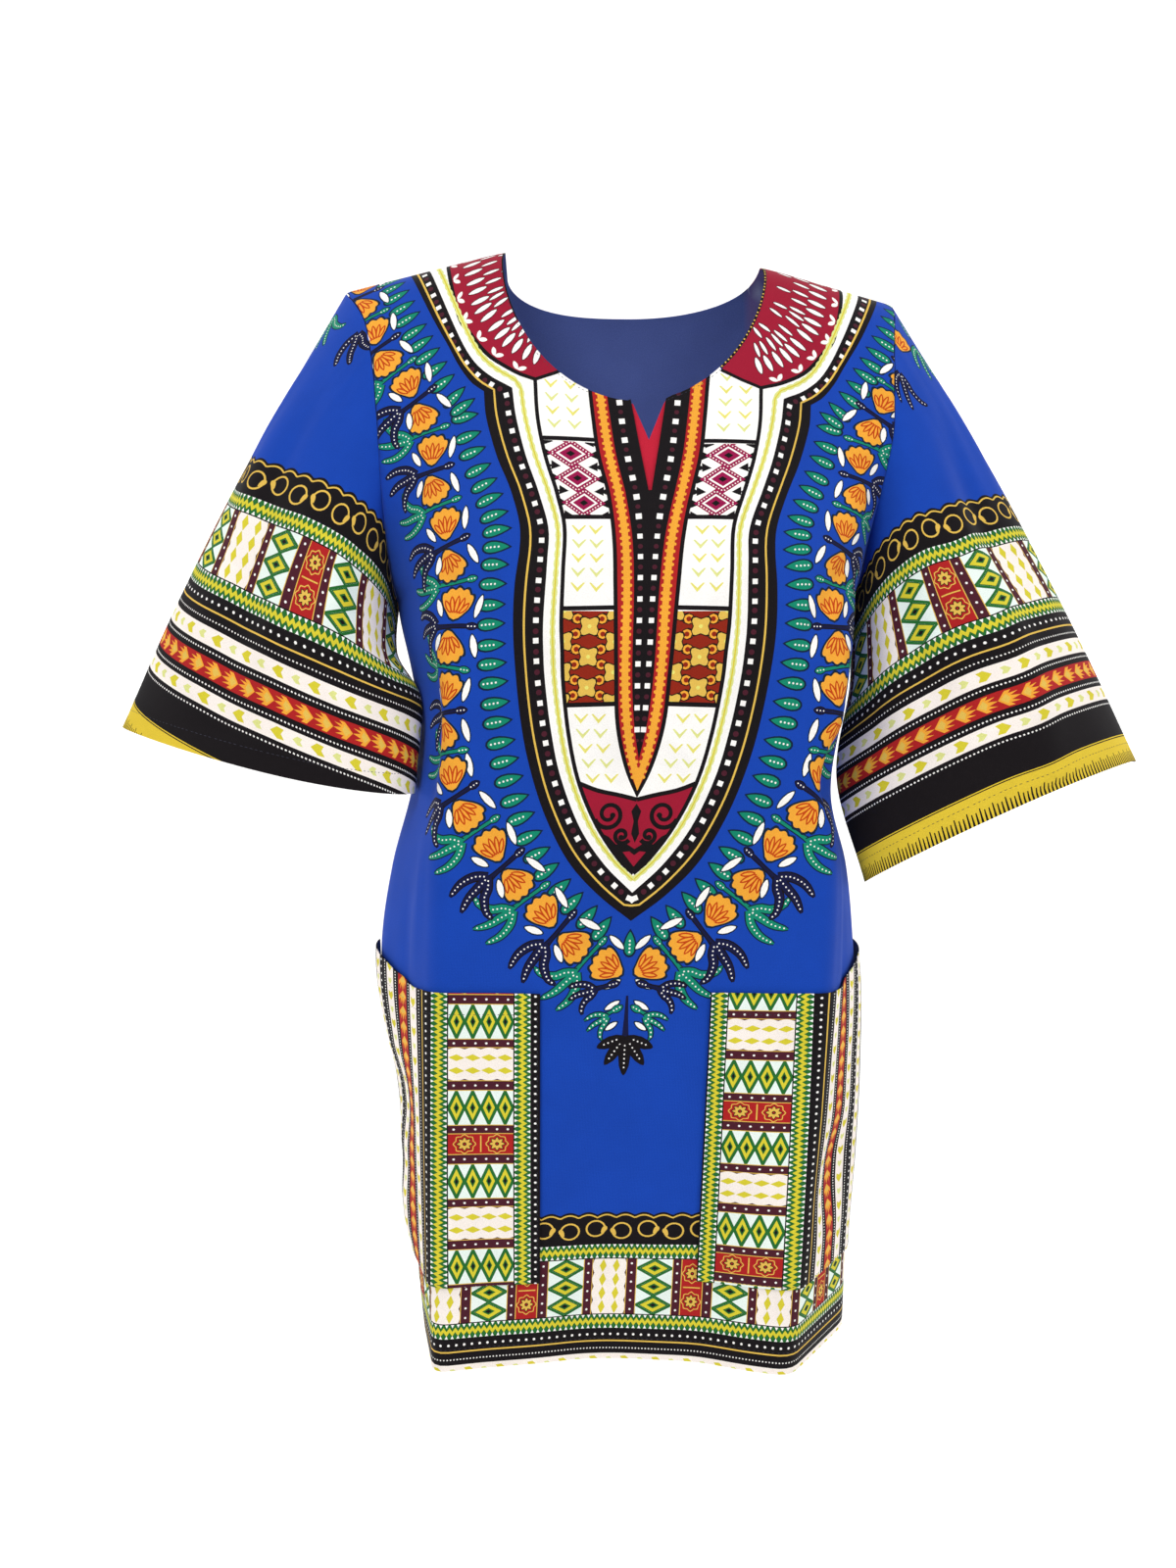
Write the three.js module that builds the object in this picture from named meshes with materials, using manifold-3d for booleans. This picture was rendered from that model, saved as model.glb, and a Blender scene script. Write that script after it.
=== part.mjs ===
// A printed cotton tunic dress of the dashiki kind, as it hangs on a wearer: front and back bodies cut
// straight, short flared sleeves set into open armholes, a round neck with a short slit and a facing behind
// it, and two wide patch pockets that run from the front round to the side seams.
// Millimetres. +Z is up, +X is towards the viewer's right and the front faces -Y. The origin is the middle of
// the neck opening, on the ridge of the shoulders where the wearer holds the dress up.
import * as THREE from "three";
import { mergeVertices } from "three/addons/utils/BufferGeometryUtils.js";
import Module from "manifold-3d";

const wasm = await Module();
wasm.setup();

// Driving dimensions.
const CLOTH = 1.5; // thickness of one layer with its seam allowance
const GAP = 0.3; // between pieces at a seam
const LENGTH = 767; // shoulder ridge to hem
const NECK_HALF_WIDTH = 94;
const FRONT_NECK_DROP = 122;
const BACK_NECK_DROP = 24;
const SLIT = { x: 8, halfWidth: 12, foot: 188 };
const SHOULDER_SLOPE = { left: 0.26, right: 0.3 }; // drop for each mm outside the neck
const SHOULDER_TILT = 11; // the left side of the neck rides this much higher
const SHOULDER_LEVEL_BY = 240; // rows are level this far below the ridge
const UNDERARM = 250;
const FRONT_LEAN = 0.0465; // the middle of the front drifts to the left by this share of its fall
const HEM_RISE = 1.5; // the middle of the front hem is this much shorter
const BUST_OUT = 72; // bust points either side of the middle
const BACK_OUT = 96; // fullest part of the back, either side of its middle
const POCKET = { top: 520, bottom: 711, rise: 24, gape: 2 };
const FACING = { halfWidth: 26, top: 110, foot: 204, notchHalfWidth: 9.5, notchFoot: 150 };

// Sections of the front, down from the shoulder ridge. edge is the armhole edge above the underarm and the
// side seam below it, and fold is the hanging crease between the flat front and the side.
const FRONT_COLUMNS = [
  "down", "edgeXL", "edgeYL", "foldXL", "foldYL", "bustYL",
  "midY", "bustYR", "foldXR", "foldYR", "edgeXR", "edgeYR",
];
const FRONT_ROWS = [
  [0, -211, 0, -138, 0, 0, 0, 0, 138, 0, 190, 0],
  [8, -207, -12, -136, -16, -17, -17, -17, 138, -16, 189, -12],
  [20, -200, -24, -134, -30, -32, -32, -32, 139, -30, 187, -24],
  [40, -191, -36, -131, -43, -46, -46, -46, 142, -42, 184, -36],
  [75, -184, -48, -128, -57, -60, -58, -60, 150, -52, 181, -48],
  [125, -179, -55, -128, -70, -78, -73, -78, 159, -60, 179, -55],
  [170, -177, -53, -138, -80, -96, -87, -96, 157, -68, 172, -50],
  [210, -175, -40, -144, -90, -110, -102, -110, 153, -80, 165, -36],
  [238, -173, -22, -143, -98, -117, -111, -117, 148, -91, 161, -20],
  [250, -172, 0, -141, -100, -119, -113, -119, 146, -94, 158, 0],
  [300, -160, 0, -129, -110, -121, -118, -121, 139, -105, 151, 0],
  [345, -154, 0, -127, -112, -118, -117, -118, 132, -109, 144, 0],
  [387, -160, 0, -130, -109, -115, -114, -115, 124, -109, 140, 0],
  [440, -174, 0, -133, -107, -110, -110, -111, 128, -108, 152, 0],
  [505, -182, 0, -134, -106, -107, -106, -108, 125, -108, 158, 0],
  [570, -174, 0, -134, -106, -104, -102, -106, 118, -108, 161, 0],
  [640, -165, 0, -134, -106, -101, -96, -103, 110, -108, 158, 0],
  [700, -158, 0, -134, -106, -98, -90, -100, 104, -109, 153, 0],
  [767, -150, 0, -134, -105, -95, -83, -97, 98, -109, 150, 0],
];

// Sections of the back. Its side seams are the front's, and its armholes curve the other way.
const BACK_COLUMNS = ["down", "edgeXL", "edgeYL", "sideYL", "midY", "sideYR", "edgeXR", "edgeYR"];
const BACK_ROWS = [
  [0, -211, 0, 0, 0, 0, 190, 0],
  [8, -208, 10, 18, 18, 18, 189.5, 10],
  [20, -202, 20, 34, 35, 34, 188, 20],
  [40, -195, 30, 51, 53, 51, 186, 30],
  [75, -188, 42, 68, 70, 68, 183, 42],
  [125, -182, 50, 82, 82, 82, 180, 50],
  [170, -179, 49, 89, 87, 89, 174, 48],
  [210, -176, 38, 91, 88, 91, 167, 36],
  [238, -173, 22, 89, 87, 89, 161, 20],
  [250, -172, 0, 88, 86, 88, 158, 0],
  [300, -160, 0, 82, 82, 82, 151, 0],
  [345, -154, 0, 80, 82, 80, 144, 0],
  [387, -160, 0, 84, 88, 84, 140, 0],
  [440, -174, 0, 94, 101, 94, 152, 0],
  [505, -182, 0, 103, 114, 103, 158, 0],
  [570, -174, 0, 107, 119, 107, 161, 0],
  [640, -165, 0, 107, 119, 107, 158, 0],
  [700, -158, 0, 106, 117, 106, 153, 0],
  [767, -150, 0, 105, 115, 105, 150, 0],
];

// Soft folds: where the middle of each lies across the panel at its two ends, measured along the cloth, how
// far down it starts and stops, its half width, and how far it stands out (or in, if negative) at the most.
// hold is the share of that height it still has where it stops, so a flute that reaches the hem has 1.
const FOLD_COLUMNS = ["acrossTop", "acrossFoot", "top", "foot", "halfWidth", "out", "hold"];
const FRONT_FOLDS = [
  [-120, -62, 150, 330, 17, 4.5, 0],
  [118, 84, 170, 350, 16, 4, 0],
  [-34, -52, 300, 767, 30, 3, 0.6],
  [62, 58, 430, 767, 26, -4, 1],
  [142, 132, 340, 410, 16, -9, 0],
  [-150, -148, 280, 420, 15, -4, 0],
  [-196, -186, 560, 640, 26, -5, 0],
  [-190, -182, 640, 720, 22, 4, 0],
  [168, 160, 600, 690, 22, -5, 0],
];
const BACK_FOLDS = [
  [-150, -176, 470, 767, 24, 13, 1],
  [-70, -96, 430, 767, 26, -12, 1],
  [-10, -14, 450, 767, 25, 14, 1],
  [62, 72, 440, 767, 26, -13, 1],
  [132, 158, 480, 767, 24, 12, 1],
  [-96, -30, 120, 330, 22, -5, 0],
  [92, 34, 130, 350, 22, -4, 0],
  [-40, 30, 300, 400, 24, 5, 0],
];

// Sleeves: rings from the armhole (at 0) to the cuff (at 1), each through its outer, front, inner and back
// points. The first ring is the armhole itself.
const SLEEVE_COLUMNS = ["at", "outer", "front", "inner", "back"];
const LEFT_SLEEVE = [
  [0.36, [-278, -6, -140], [-222, -66, -222], [-169, -36, -288], [-226, 54, -214]],
  [0.7, [-329, -14, -246], [-238, -76, -306], [-152, -48, -330], [-244, 50, -290]],
  [1, [-369, -20, -341], [-236, -80, -378], [-157, -56, -387], [-262, 40, -356]],
];
const RIGHT_SLEEVE = [
  [0.36, [268, -6, -150], [206, -66, -238], [159, -14, -302], [208, 54, -234]],
  [0.7, [323, -14, -266], [240, -76, -330], [146, -24, -376], [238, 50, -324]],
  [1, [362, -20, -366], [262, -74, -396], [160, -52, -450], [266, 40, -396]],
];
const CUFF_EDGE = 0.3; // how round the outer and inner edges of a sleeve are, where 0.55 is an ellipse
const SLEEVE_FOLDS = {
  left: [
    [34, 52, 40, 190, 17, 5, 0],
    [78, 92, 70, 320, 20, -5, 0.5],
    [150, 130, 60, 240, 16, 4, 0],
    [-70, -90, 60, 300, 22, 6, 0.7],
  ],
  right: [
    [-52, -70, 40, 240, 18, -6, 0],
    [-96, -110, 90, 330, 20, 5, 0.5],
    [-146, -150, 60, 260, 16, -4, 0],
    [70, 96, 60, 320, 22, 6, 0.7],
  ],
};

const SHOULDER_ROWS = [0, 4, 9, 16, 26, 40, 57, 76]; // close together over the ridge of the shoulders
const SPARE_ROW = 4; // a row this far below the pockets' top

// Helpers for tables and curves.
const clamp01 = (t) => Math.min(1, Math.max(0, t));
const ease = (t) => clamp01(t) ** 2 * (3 - 2 * clamp01(t));
const mix = (a, b, t) => a + (b - a) * t;
const named = (columns, rows) => rows.map((r) => Object.fromEntries(columns.map((c, i) => [c, r[i]])));

// The slope of a curve where two stretches of it meet, small enough that the curve never overshoots.
function jointSlope(p, q) {
  if (p * q <= 0) return 0;
  const least = Math.min(Math.abs(p), Math.abs(q));
  return (Math.sign(p) * 3 * p * q) / (Math.abs(p + q) + least);
}

// One smooth value from the rows of a table, by a cubic through them.
function lookUp(rows, key, name, at) {
  let i = rows.findIndex((r) => r[key] > at);
  if (i < 0) i = rows.length - 1;
  i = Math.max(1, i);
  const [a, b] = [rows[i - 1], rows[i]];
  const before = rows[Math.max(0, i - 2)];
  const after = rows[Math.min(rows.length - 1, i + 1)];
  const span = b[key] - a[key];
  const t = clamp01((at - a[key]) / span);
  const rate = (p, q) => (q === p ? 0 : (q[name] - p[name]) / (q[key] - p[key]));
  const slopeA = before === a ? rate(a, b) : jointSlope(rate(before, a), rate(a, b));
  const slopeB = after === b ? rate(a, b) : jointSlope(rate(a, b), rate(b, after));
  const t2 = t * t;
  const t3 = t2 * t;
  return (
    (2 * t3 - 3 * t2 + 1) * a[name] +
    (t3 - 2 * t2 + t) * span * slopeA +
    (3 * t2 - 2 * t3) * b[name] +
    (t3 - t2) * span * slopeB
  );
}

// A line through corner points whose corners are rounded over a given length, with its own measure of length.
function roundedLine(corners) {
  const points = [corners[0].at];
  const marks = [0];
  for (let i = 1; i < corners.length - 1; i++) {
    const { at, round } = corners[i];
    const [a, b] = [corners[i - 1].at, corners[i + 1].at];
    const reach = Math.min(round, at.distanceTo(a) * 0.5, at.distanceTo(b) * 0.5);
    const from = at.clone().add(a.clone().sub(at).setLength(reach));
    const to = at.clone().add(b.clone().sub(at).setLength(reach));
    const bend = new THREE.QuadraticBezierCurve(from, at, to).getPoints(8);
    marks.push(points.length + 4);
    points.push(...bend);
  }
  marks.push(points.length);
  points.push(corners[corners.length - 1].at);
  const along = [0];
  for (let i = 1; i < points.length; i++) along.push(along[i - 1] + points[i].distanceTo(points[i - 1]));
  return { points, along, cornerAlong: marks.map((m) => along[m]), length: along[along.length - 1] };
}

function pointOn(line, s) {
  const { points, along } = line;
  const wanted = Math.min(line.length, Math.max(0, s));
  let [low, high] = [0, along.length - 1];
  while (high - low > 1) {
    const middle = (low + high) >> 1;
    if (along[middle] > wanted) high = middle;
    else low = middle;
  }
  const share = (wanted - along[low]) / (along[high] - along[low] || 1);
  return points[low].clone().lerp(points[high], share);
}

// How far the folds of a panel stand out at a place on it.
function foldHeight(folds, across, down) {
  let height = 0;
  for (const f of folds) {
    if (down < f.top || down > f.foot) continue;
    const t = (down - f.top) / (f.foot - f.top);
    const centre = mix(f.acrossTop, f.acrossFoot, t);
    const rise = ease(t / 0.45);
    const fall = f.hold + (1 - f.hold) * ease((1 - t) / 0.45);
    height += f.out * rise * fall * Math.exp(-(((across - centre) / f.halfWidth) ** 2));
  }
  return height;
}

// Ridge of the shoulders: level across the neck and sloping outside it.
function ridgeHeight(x) {
  const outside = Math.abs(x) - NECK_HALF_WIDTH;
  const slope = x < 0 ? SHOULDER_SLOPE.left : SHOULDER_SLOPE.right;
  return (-slope * (Math.hypot(outside, 8) + outside)) / 2 + SHOULDER_TILT * ease(-x / 90);
}

const frontTable = named(FRONT_COLUMNS, FRONT_ROWS);
const backTable = named(BACK_COLUMNS, BACK_ROWS);
const middleX = (down) => SLIT.x - FRONT_LEAN * Math.max(0, down - SLIT.foot);
const seamTangent = (down) => mix(0.6, 30, ease((down - 225) / 70));
const creaseRound = (down) => mix(60, 11, ease((down - 190) / 110));

// The front's section at one height, as a line across it in plan.
function frontLine(down) {
  const v = (name) => lookUp(frontTable, "down", name, down);
  const at = (x, y, round) => ({ at: new THREE.Vector2(x, y), round });
  const k = seamTangent(down);
  const mid = middleX(down);
  return roundedLine([
    at(v("edgeXL"), v("edgeYL"), 0),
    at(v("edgeXL"), v("edgeYL") - k, 40),
    at(v("foldXL"), v("foldYL"), creaseRound(down)),
    at(mid - BUST_OUT, v("bustYL"), 60),
    at(mid, v("midY"), 60),
    at(mid + BUST_OUT * 0.9, v("bustYR"), 60),
    at(v("foldXR"), v("foldYR"), creaseRound(down)),
    at(v("edgeXR"), v("edgeYR") - k, 40),
    at(v("edgeXR"), v("edgeYR"), 0),
  ]);
}
const FRONT_KEYS = { left: 0, leftFold: 2, middle: 4, rightFold: 6, right: 8 };

function backLine(down) {
  const v = (name) => lookUp(backTable, "down", name, down);
  const at = (x, y, round) => ({ at: new THREE.Vector2(x, y), round });
  const k = seamTangent(down);
  const edges = [v("edgeXL"), v("edgeXR")];
  const mid = (edges[0] + edges[1]) / 2;
  return roundedLine([
    at(edges[0], v("edgeYL"), 0),
    at(edges[0], v("edgeYL") + k, 70),
    at(mid - BACK_OUT, v("sideYL"), 70),
    at(mid, v("midY"), 70),
    at(mid + BACK_OUT, v("sideYR"), 70),
    at(edges[1], v("edgeYR") + k, 70),
    at(edges[1], v("edgeYR"), 0),
  ]);
}
const BACK_KEYS = { left: 0, middle: 3, right: 6 };

// Places a point of a body's section in space, sloping its upper rows with the shoulders.
function raised(plan, down, drop) {
  const level = ease(down / SHOULDER_LEVEL_BY);
  return new THREE.Vector3(plan.x, plan.y, ridgeHeight(plan.x) * (1 - level) - drop);
}

const hemShare = (down) => ease((down - 640) / (LENGTH - 640));

// A body surface: the point at a distance across from its middle line, measured along the cloth, and down.
function bodySurface(lineAt, keys, folds, hemRise) {
  const lines = new Map();
  const line = (down) => {
    const key = Math.round(down * 100);
    if (!lines.has(key)) lines.set(key, lineAt(down));
    return lines.get(key);
  };
  const bare = (across, down) => {
    const l = line(down);
    const plan = pointOn(l, l.cornerAlong[keys.middle] + across);
    const arch = hemRise * hemShare(down) * Math.exp(-((across / 90) ** 2));
    return raised(plan, down, down - arch);
  };
  const normal = (across, down) => {
    const step = 1.5;
    const d0 = Math.max(0, down - step);
    const d1 = Math.min(LENGTH, down + step);
    const [lo, hi] = reach(down);
    const a0 = Math.max(lo, across - step);
    const a1 = Math.min(hi, across + step);
    const acrossWay = bare(a1, down).sub(bare(a0, down));
    const downWay = bare(across, d1).sub(bare(across, d0));
    return acrossWay.cross(downWay).normalize().multiplyScalar(keys === BACK_KEYS ? 1 : -1);
  };
  const reach = (down) => {
    const l = line(down);
    const middle = l.cornerAlong[keys.middle];
    return [-middle, l.length - middle];
  };
  const at = (across, down, lift = 0) => {
    const height = foldHeight(folds, across, down) + lift;
    const p = bare(across, down);
    return height ? p.addScaledVector(outward(across, down), height) : p;
  };
  const outward = (across, down) => {
    const n = normal(across, down);
    const p = bare(across, down);
    const away = n.x * p.x + n.y * p.y + Math.max(0, 60 - down) * n.z * 2;
    return away < 0 ? n.negate() : n;
  };
  const key = (name, down) => line(down).cornerAlong[keys[name]] - line(down).cornerAlong[keys.middle];
  return { at, outward, reach, key };
}

const front = bodySurface(frontLine, FRONT_KEYS, named(FOLD_COLUMNS, FRONT_FOLDS), HEM_RISE);
const back = bodySurface(backLine, BACK_KEYS, named(FOLD_COLUMNS, BACK_FOLDS), 0);

// Turns a grid of points on a cloth's middle layer into a closed wall. A ring grid joins its last column to
// its first. Where atSeam is true the wall's end lies in the seam's plane, which faces along Y.
function wall(grid, ring = false, atSeam = () => false) {
  const rows = grid.length;
  const cols = grid[0].length;
  const wrap = (j) => (ring ? (j + cols) % cols : Math.min(cols - 1, Math.max(0, j)));
  const row = (i) => grid[Math.min(rows - 1, Math.max(0, i))];
  const positions = [];
  for (const side of [0.5, -0.5])
    for (let i = 0; i < rows; i++)
      for (let j = 0; j < cols; j++) {
        const across = row(i)[wrap(j + 1)].clone().sub(row(i)[wrap(j - 1)]);
        const down = row(i + 1)[j].clone().sub(row(i - 1)[j]);
        const n = across.cross(down).normalize();
        if (atSeam(i, j)) n.setY(0).multiplyScalar(1 / n.lengthSq());
        const p = grid[i][j].clone().addScaledVector(n, side * CLOTH);
        positions.push(p.x, p.y, p.z);
      }
  const index = [];
  const id = (side, i, j) => side * rows * cols + i * cols + wrap(j);
  const quad = (a, b, c, d) => index.push(a, b, c, a, c, d);
  const lastCol = ring ? cols : cols - 1;
  for (let i = 0; i < rows - 1; i++)
    for (let j = 0; j < lastCol; j++) {
      quad(id(0, i, j), id(0, i, j + 1), id(0, i + 1, j + 1), id(0, i + 1, j));
      quad(id(1, i, j), id(1, i + 1, j), id(1, i + 1, j + 1), id(1, i, j + 1));
    }
  for (let j = 0; j < lastCol; j++) {
    quad(id(0, 0, j), id(1, 0, j), id(1, 0, j + 1), id(0, 0, j + 1));
    quad(id(0, rows - 1, j), id(0, rows - 1, j + 1), id(1, rows - 1, j + 1), id(1, rows - 1, j));
  }
  if (!ring)
    for (let i = 0; i < rows - 1; i++) {
      quad(id(0, i, 0), id(0, i + 1, 0), id(1, i + 1, 0), id(1, i, 0));
      quad(id(0, i, cols - 1), id(1, i, cols - 1), id(1, i + 1, cols - 1), id(0, i + 1, cols - 1));
    }
  const geometry = new THREE.BufferGeometry();
  geometry.setAttribute("position", new THREE.Float32BufferAttribute(positions, 3));
  geometry.setIndex(index);
  if (new Solid(geometry).volume() < 0) geometry.setIndex(index.toReversed());
  return geometry;
}

// A closed mesh as a manifold-3d solid, for its volume and for cuts.
class Solid {
  constructor(geometry) {
    const bare = geometry.clone();
    bare.deleteAttribute("normal");
    bare.deleteAttribute("uv");
    const merged = mergeVertices(bare, 1e-4);
    this.body = new wasm.Manifold(
      new wasm.Mesh({
        numProp: 3,
        vertProperties: merged.attributes.position.array,
        triVerts: new Uint32Array(merged.index.array),
      }),
    );
  }
  volume() {
    return this.body.volume();
  }
  minus(other) {
    const mesh = this.body.subtract(other.body).getMesh();
    const geometry = new THREE.BufferGeometry();
    geometry.setAttribute("position", new THREE.Float32BufferAttribute(mesh.vertProperties, 3));
    geometry.setIndex(new THREE.BufferAttribute(mesh.triVerts, 1));
    return geometry;
  }
}

// The heights at which a body's rows lie.
function bodyRows() {
  const rows = [...SHOULDER_ROWS];
  const stretch = (to, steps) => {
    const from = rows.at(-1);
    for (let i = 1; i <= steps; i++) rows.push(mix(from, to, i / steps));
  };
  stretch(UNDERARM - 12, 8);
  stretch(UNDERARM, 1);
  stretch(UNDERARM + 14, 1);
  stretch(POCKET.top + SPARE_ROW, 10);
  stretch(POCKET.bottom, 7);
  stretch(LENGTH, 2);
  return rows;
}

// Where a panel's columns lie at one height. A column's share of the way between two named lines may change
// from the pockets' top to their foot.
function places(surface, stations, down) {
  const fall = clamp01((down - POCKET.top) / (POCKET.bottom - POCKET.top));
  return stations.map(([from, to, share, shareAtFoot = share]) =>
    mix(surface.key(from, down), surface.key(to, down), mix(share, shareAtFoot, fall)),
  );
}

// A body panel as a grid of points, with columns that follow its named lines, kept half a gap from its edges.
function bodyGrid(surface, stations, rows) {
  return rows.map((down, i) => {
    const inset = GAP / 2 + 0.05;
    const place = places(surface, stations, down);
    const [low, high] = surface.reach(down);
    const line = place.map((across) => {
      const kept = Math.min(high - inset, Math.max(low + inset, across));
      return surface.at(kept, i === 0 ? inset : down);
    });
    return line;
  });
}

const spread = (from, to, shares) => shares.map((s) => [from, to, s]);
const FRONT_STATIONS = [
  ...spread("left", "leftFold", [0, 0.22, 0.45, 0.68, 0.87]),
  ...spread("leftFold", "middle", [0, 0.09, 0.24, 0.4]),
  ["leftFold", "middle", 0.55, 0.581],
  ...spread("leftFold", "middle", [0.78]),
  ...spread("middle", "rightFold", [0, 0.21]),
  ["middle", "rightFold", 0.418, 0.461],
  ...spread("middle", "rightFold", [0.6, 0.76, 0.91]),
  ...spread("rightFold", "right", [0, 0.13, 0.32, 0.55, 0.78, 1]),
];
const POCKET_COLUMNS = { left: [0, 9], right: [13, 22] }; // the columns of the front that each pocket covers
const BACK_STATIONS = [
  ...spread("left", "middle", [0, 0.12, 0.24, 0.36, 0.48, 0.6, 0.74, 0.87]),
  ...spread("middle", "right", [0, 0.13, 0.26, 0.4, 0.52, 0.64, 0.76, 0.88, 1]),
];

// A cutter that opens the neck: an outline in the plane of the front, run through it front to back.
function neckCutter(drop, slit, from, to) {
  const outline = new THREE.Shape();
  outline.moveTo(-NECK_HALF_WIDTH, 20);
  const steps = 22;
  for (let i = 0; i <= steps; i++) {
    const angle = Math.PI * (1 + i / steps);
    const x = NECK_HALF_WIDTH * Math.cos(angle);
    const crossesSlit = slit && Math.abs(x - SLIT.x) < SLIT.halfWidth;
    if (!crossesSlit) outline.lineTo(x, drop * Math.sin(angle));
    const next = NECK_HALF_WIDTH * Math.cos(Math.PI * (1 + (i + 1) / steps));
    if (slit && x <= SLIT.x && next > SLIT.x) {
      outline.lineTo(SLIT.x - SLIT.halfWidth, -drop * 0.99);
      outline.lineTo(SLIT.x - 1, -SLIT.foot);
      outline.lineTo(SLIT.x + 1, -SLIT.foot);
      outline.lineTo(SLIT.x + SLIT.halfWidth, -drop * 0.985);
    }
  }
  outline.lineTo(NECK_HALF_WIDTH, 20);
  const cutter = new THREE.ExtrudeGeometry(outline, { depth: to - from, bevelEnabled: false });
  cutter.rotateX(Math.PI / 2);
  cutter.translate(0, to, 0);
  return new Solid(cutter);
}

const finish = {
  cloth: new THREE.MeshStandardMaterial({ color: 0x1f45c4, roughness: 0.85, metalness: 0 }),
  border: new THREE.MeshStandardMaterial({ color: 0x2a2420, roughness: 0.85, metalness: 0 }),
  facing: new THREE.MeshStandardMaterial({ color: 0xc01f38, roughness: 0.85, metalness: 0 }),
};

const dress = new THREE.Group();
function sew(name, geometry, material) {
  const mesh = new THREE.Mesh(geometry, material);
  mesh.name = name;
  dress.add(mesh);
}

// Bodies.
const rows = bodyRows();
const alongSeam = (stations) => (i, j) =>
  i === 0 || (rows[i] >= UNDERARM && (j === 0 || j === stations.length - 1));
const frontWall = wall(bodyGrid(front, FRONT_STATIONS, rows), false, alongSeam(FRONT_STATIONS));
sew("front", new Solid(frontWall).minus(neckCutter(FRONT_NECK_DROP, true, -160, 20)), finish.cloth);
const backWall = wall(bodyGrid(back, BACK_STATIONS, rows), false, alongSeam(BACK_STATIONS));
sew("back", new Solid(backWall).minus(neckCutter(BACK_NECK_DROP, false, -20, 160)), finish.cloth);

// Patch pockets, made from the front's own points moved out by a layer and a gap. Their columns are the
// front's from the pocket's inner edge outwards, and their rows the front's below its slanting top.
const POCKET_GAP = CLOTH + GAP + 0.2;

function pocketGrid(side) {
  const [first, last] = side < 0 ? POCKET_COLUMNS.left : POCKET_COLUMNS.right;
  const outer = (k) => (side < 0 ? (last - k) / (last - first) : (k - first) / (last - first));
  const below = rows.filter((down) => down > POCKET.top && down <= POCKET.bottom);
  const grid = [];
  for (let i = 0; i <= below.length; i++) {
    const line = [];
    for (let k = first; k <= last; k++) {
      const top = POCKET.top - Math.max(2, POCKET.rise * ease((outer(k) - 0.42) / 0.58));
      const down = [top, ...below][i];
      const [low, high] = front.reach(down);
      const across = Math.min(high - 4, Math.max(low + 4, places(front, FRONT_STATIONS, down)[k]));
      const mouth = POCKET.gape * ease((POCKET.top + 60 - down) / 60) * ease((outer(k) - 0.5) / 0.3);
      line.push(front.at(across, down, POCKET_GAP + mouth));
    }
    grid.push(line);
  }
  return grid;
}
sew("pocket_left", wall(pocketGrid(-1)), finish.border);
sew("pocket_right", wall(pocketGrid(1)), finish.border);

// The facing behind the neck slit: a small kite of cloth inside the front.
function facingGrid() {
  const grid = [];
  const depth = -(CLOTH + GAP + 0.15);
  for (let i = 0; i <= 7; i++) {
    const down = mix(FACING.top, FACING.foot, i / 7);
    const half = mix(FACING.halfWidth, 4, ease(i / 7));
    const line = [];
    for (let j = 0; j <= 6; j++) line.push(front.at(mix(-half, half, j / 6), down, depth));
    grid.push(line);
  }
  return grid;
}

function facingNotch() {
  const half = FACING.notchHalfWidth * 1.1;
  const outline = new THREE.Shape([
    new THREE.Vector2(SLIT.x - half, 0),
    new THREE.Vector2(SLIT.x - half, -FRONT_NECK_DROP),
    new THREE.Vector2(SLIT.x, -FACING.notchFoot),
    new THREE.Vector2(SLIT.x + half, -FRONT_NECK_DROP),
    new THREE.Vector2(SLIT.x + half, 0),
  ]);
  const cutter = new THREE.ExtrudeGeometry(outline, { depth: 200, bevelEnabled: false });
  cutter.rotateX(Math.PI / 2);
  return new Solid(cutter);
}
const neckInside = neckCutter(FRONT_NECK_DROP + 1, false, -160, 20);
const facing = new Solid(new Solid(wall(facingGrid())).minus(facingNotch()));
sew("slit_facing", facing.minus(neckInside), finish.facing);

// Sleeves.
const RING = 28;
const SLEEVE_FALL = 340; // down the sleeve's outer edge, for placing its folds
const ARMHOLE_GAP = 1.35; // from the body's cut edge to the middle of the sleeve's

// The armhole as a loop: down its front edge from the shoulder to the underarm, and up its back edge.
// It gives the point a share of the turn round from the shoulder.
function armhole(side) {
  const edge = (surface, down, inside = 0) => {
    const [low, high] = surface.reach(down);
    return surface.at(side < 0 ? low + inside : high - inside, down);
  };
  // Each point stands off the body's edge: along the cloth beside the arm, and sideways under it.
  const beside = (surface, down) => {
    const p = edge(surface, down);
    const along = edge(surface, Math.min(UNDERARM, down + 3)).sub(edge(surface, Math.max(0, down - 3)));
    const inward = edge(surface, down, 3).sub(p);
    const away = inward.addScaledVector(along, -inward.dot(along) / along.lengthSq()).normalize().negate();
    const under = ease((down / UNDERARM - 0.7) / 0.25);
    const sideways = new THREE.Vector3(side, 0, 0);
    p.addScaledVector(away, ARMHOLE_GAP * (1 - under));
    return p.addScaledVector(sideways, (CLOTH + GAP + 0.5) * under);
  };
  const steps = 60;
  const run = [];
  for (let i = 0; i <= steps; i++) run.push(beside(front, (UNDERARM * i) / steps));
  for (let i = steps - 1; i > 0; i--) run.push(beside(back, (UNDERARM * i) / steps));
  const half = (points) => {
    const along = [0];
    for (let i = 1; i < points.length; i++) along.push(along[i - 1] + points[i].distanceTo(points[i - 1]));
    return { points, along, length: along.at(-1), cornerAlong: [] };
  };
  const down = half(run.slice(0, steps + 1));
  const up = half([...run.slice(steps), run[0]]);
  return (turn) => {
    const line = turn <= 0.5 ? down : up;
    return pointOn(line, line.length * (turn <= 0.5 ? turn * 2 : turn * 2 - 1));
  };
}

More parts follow.
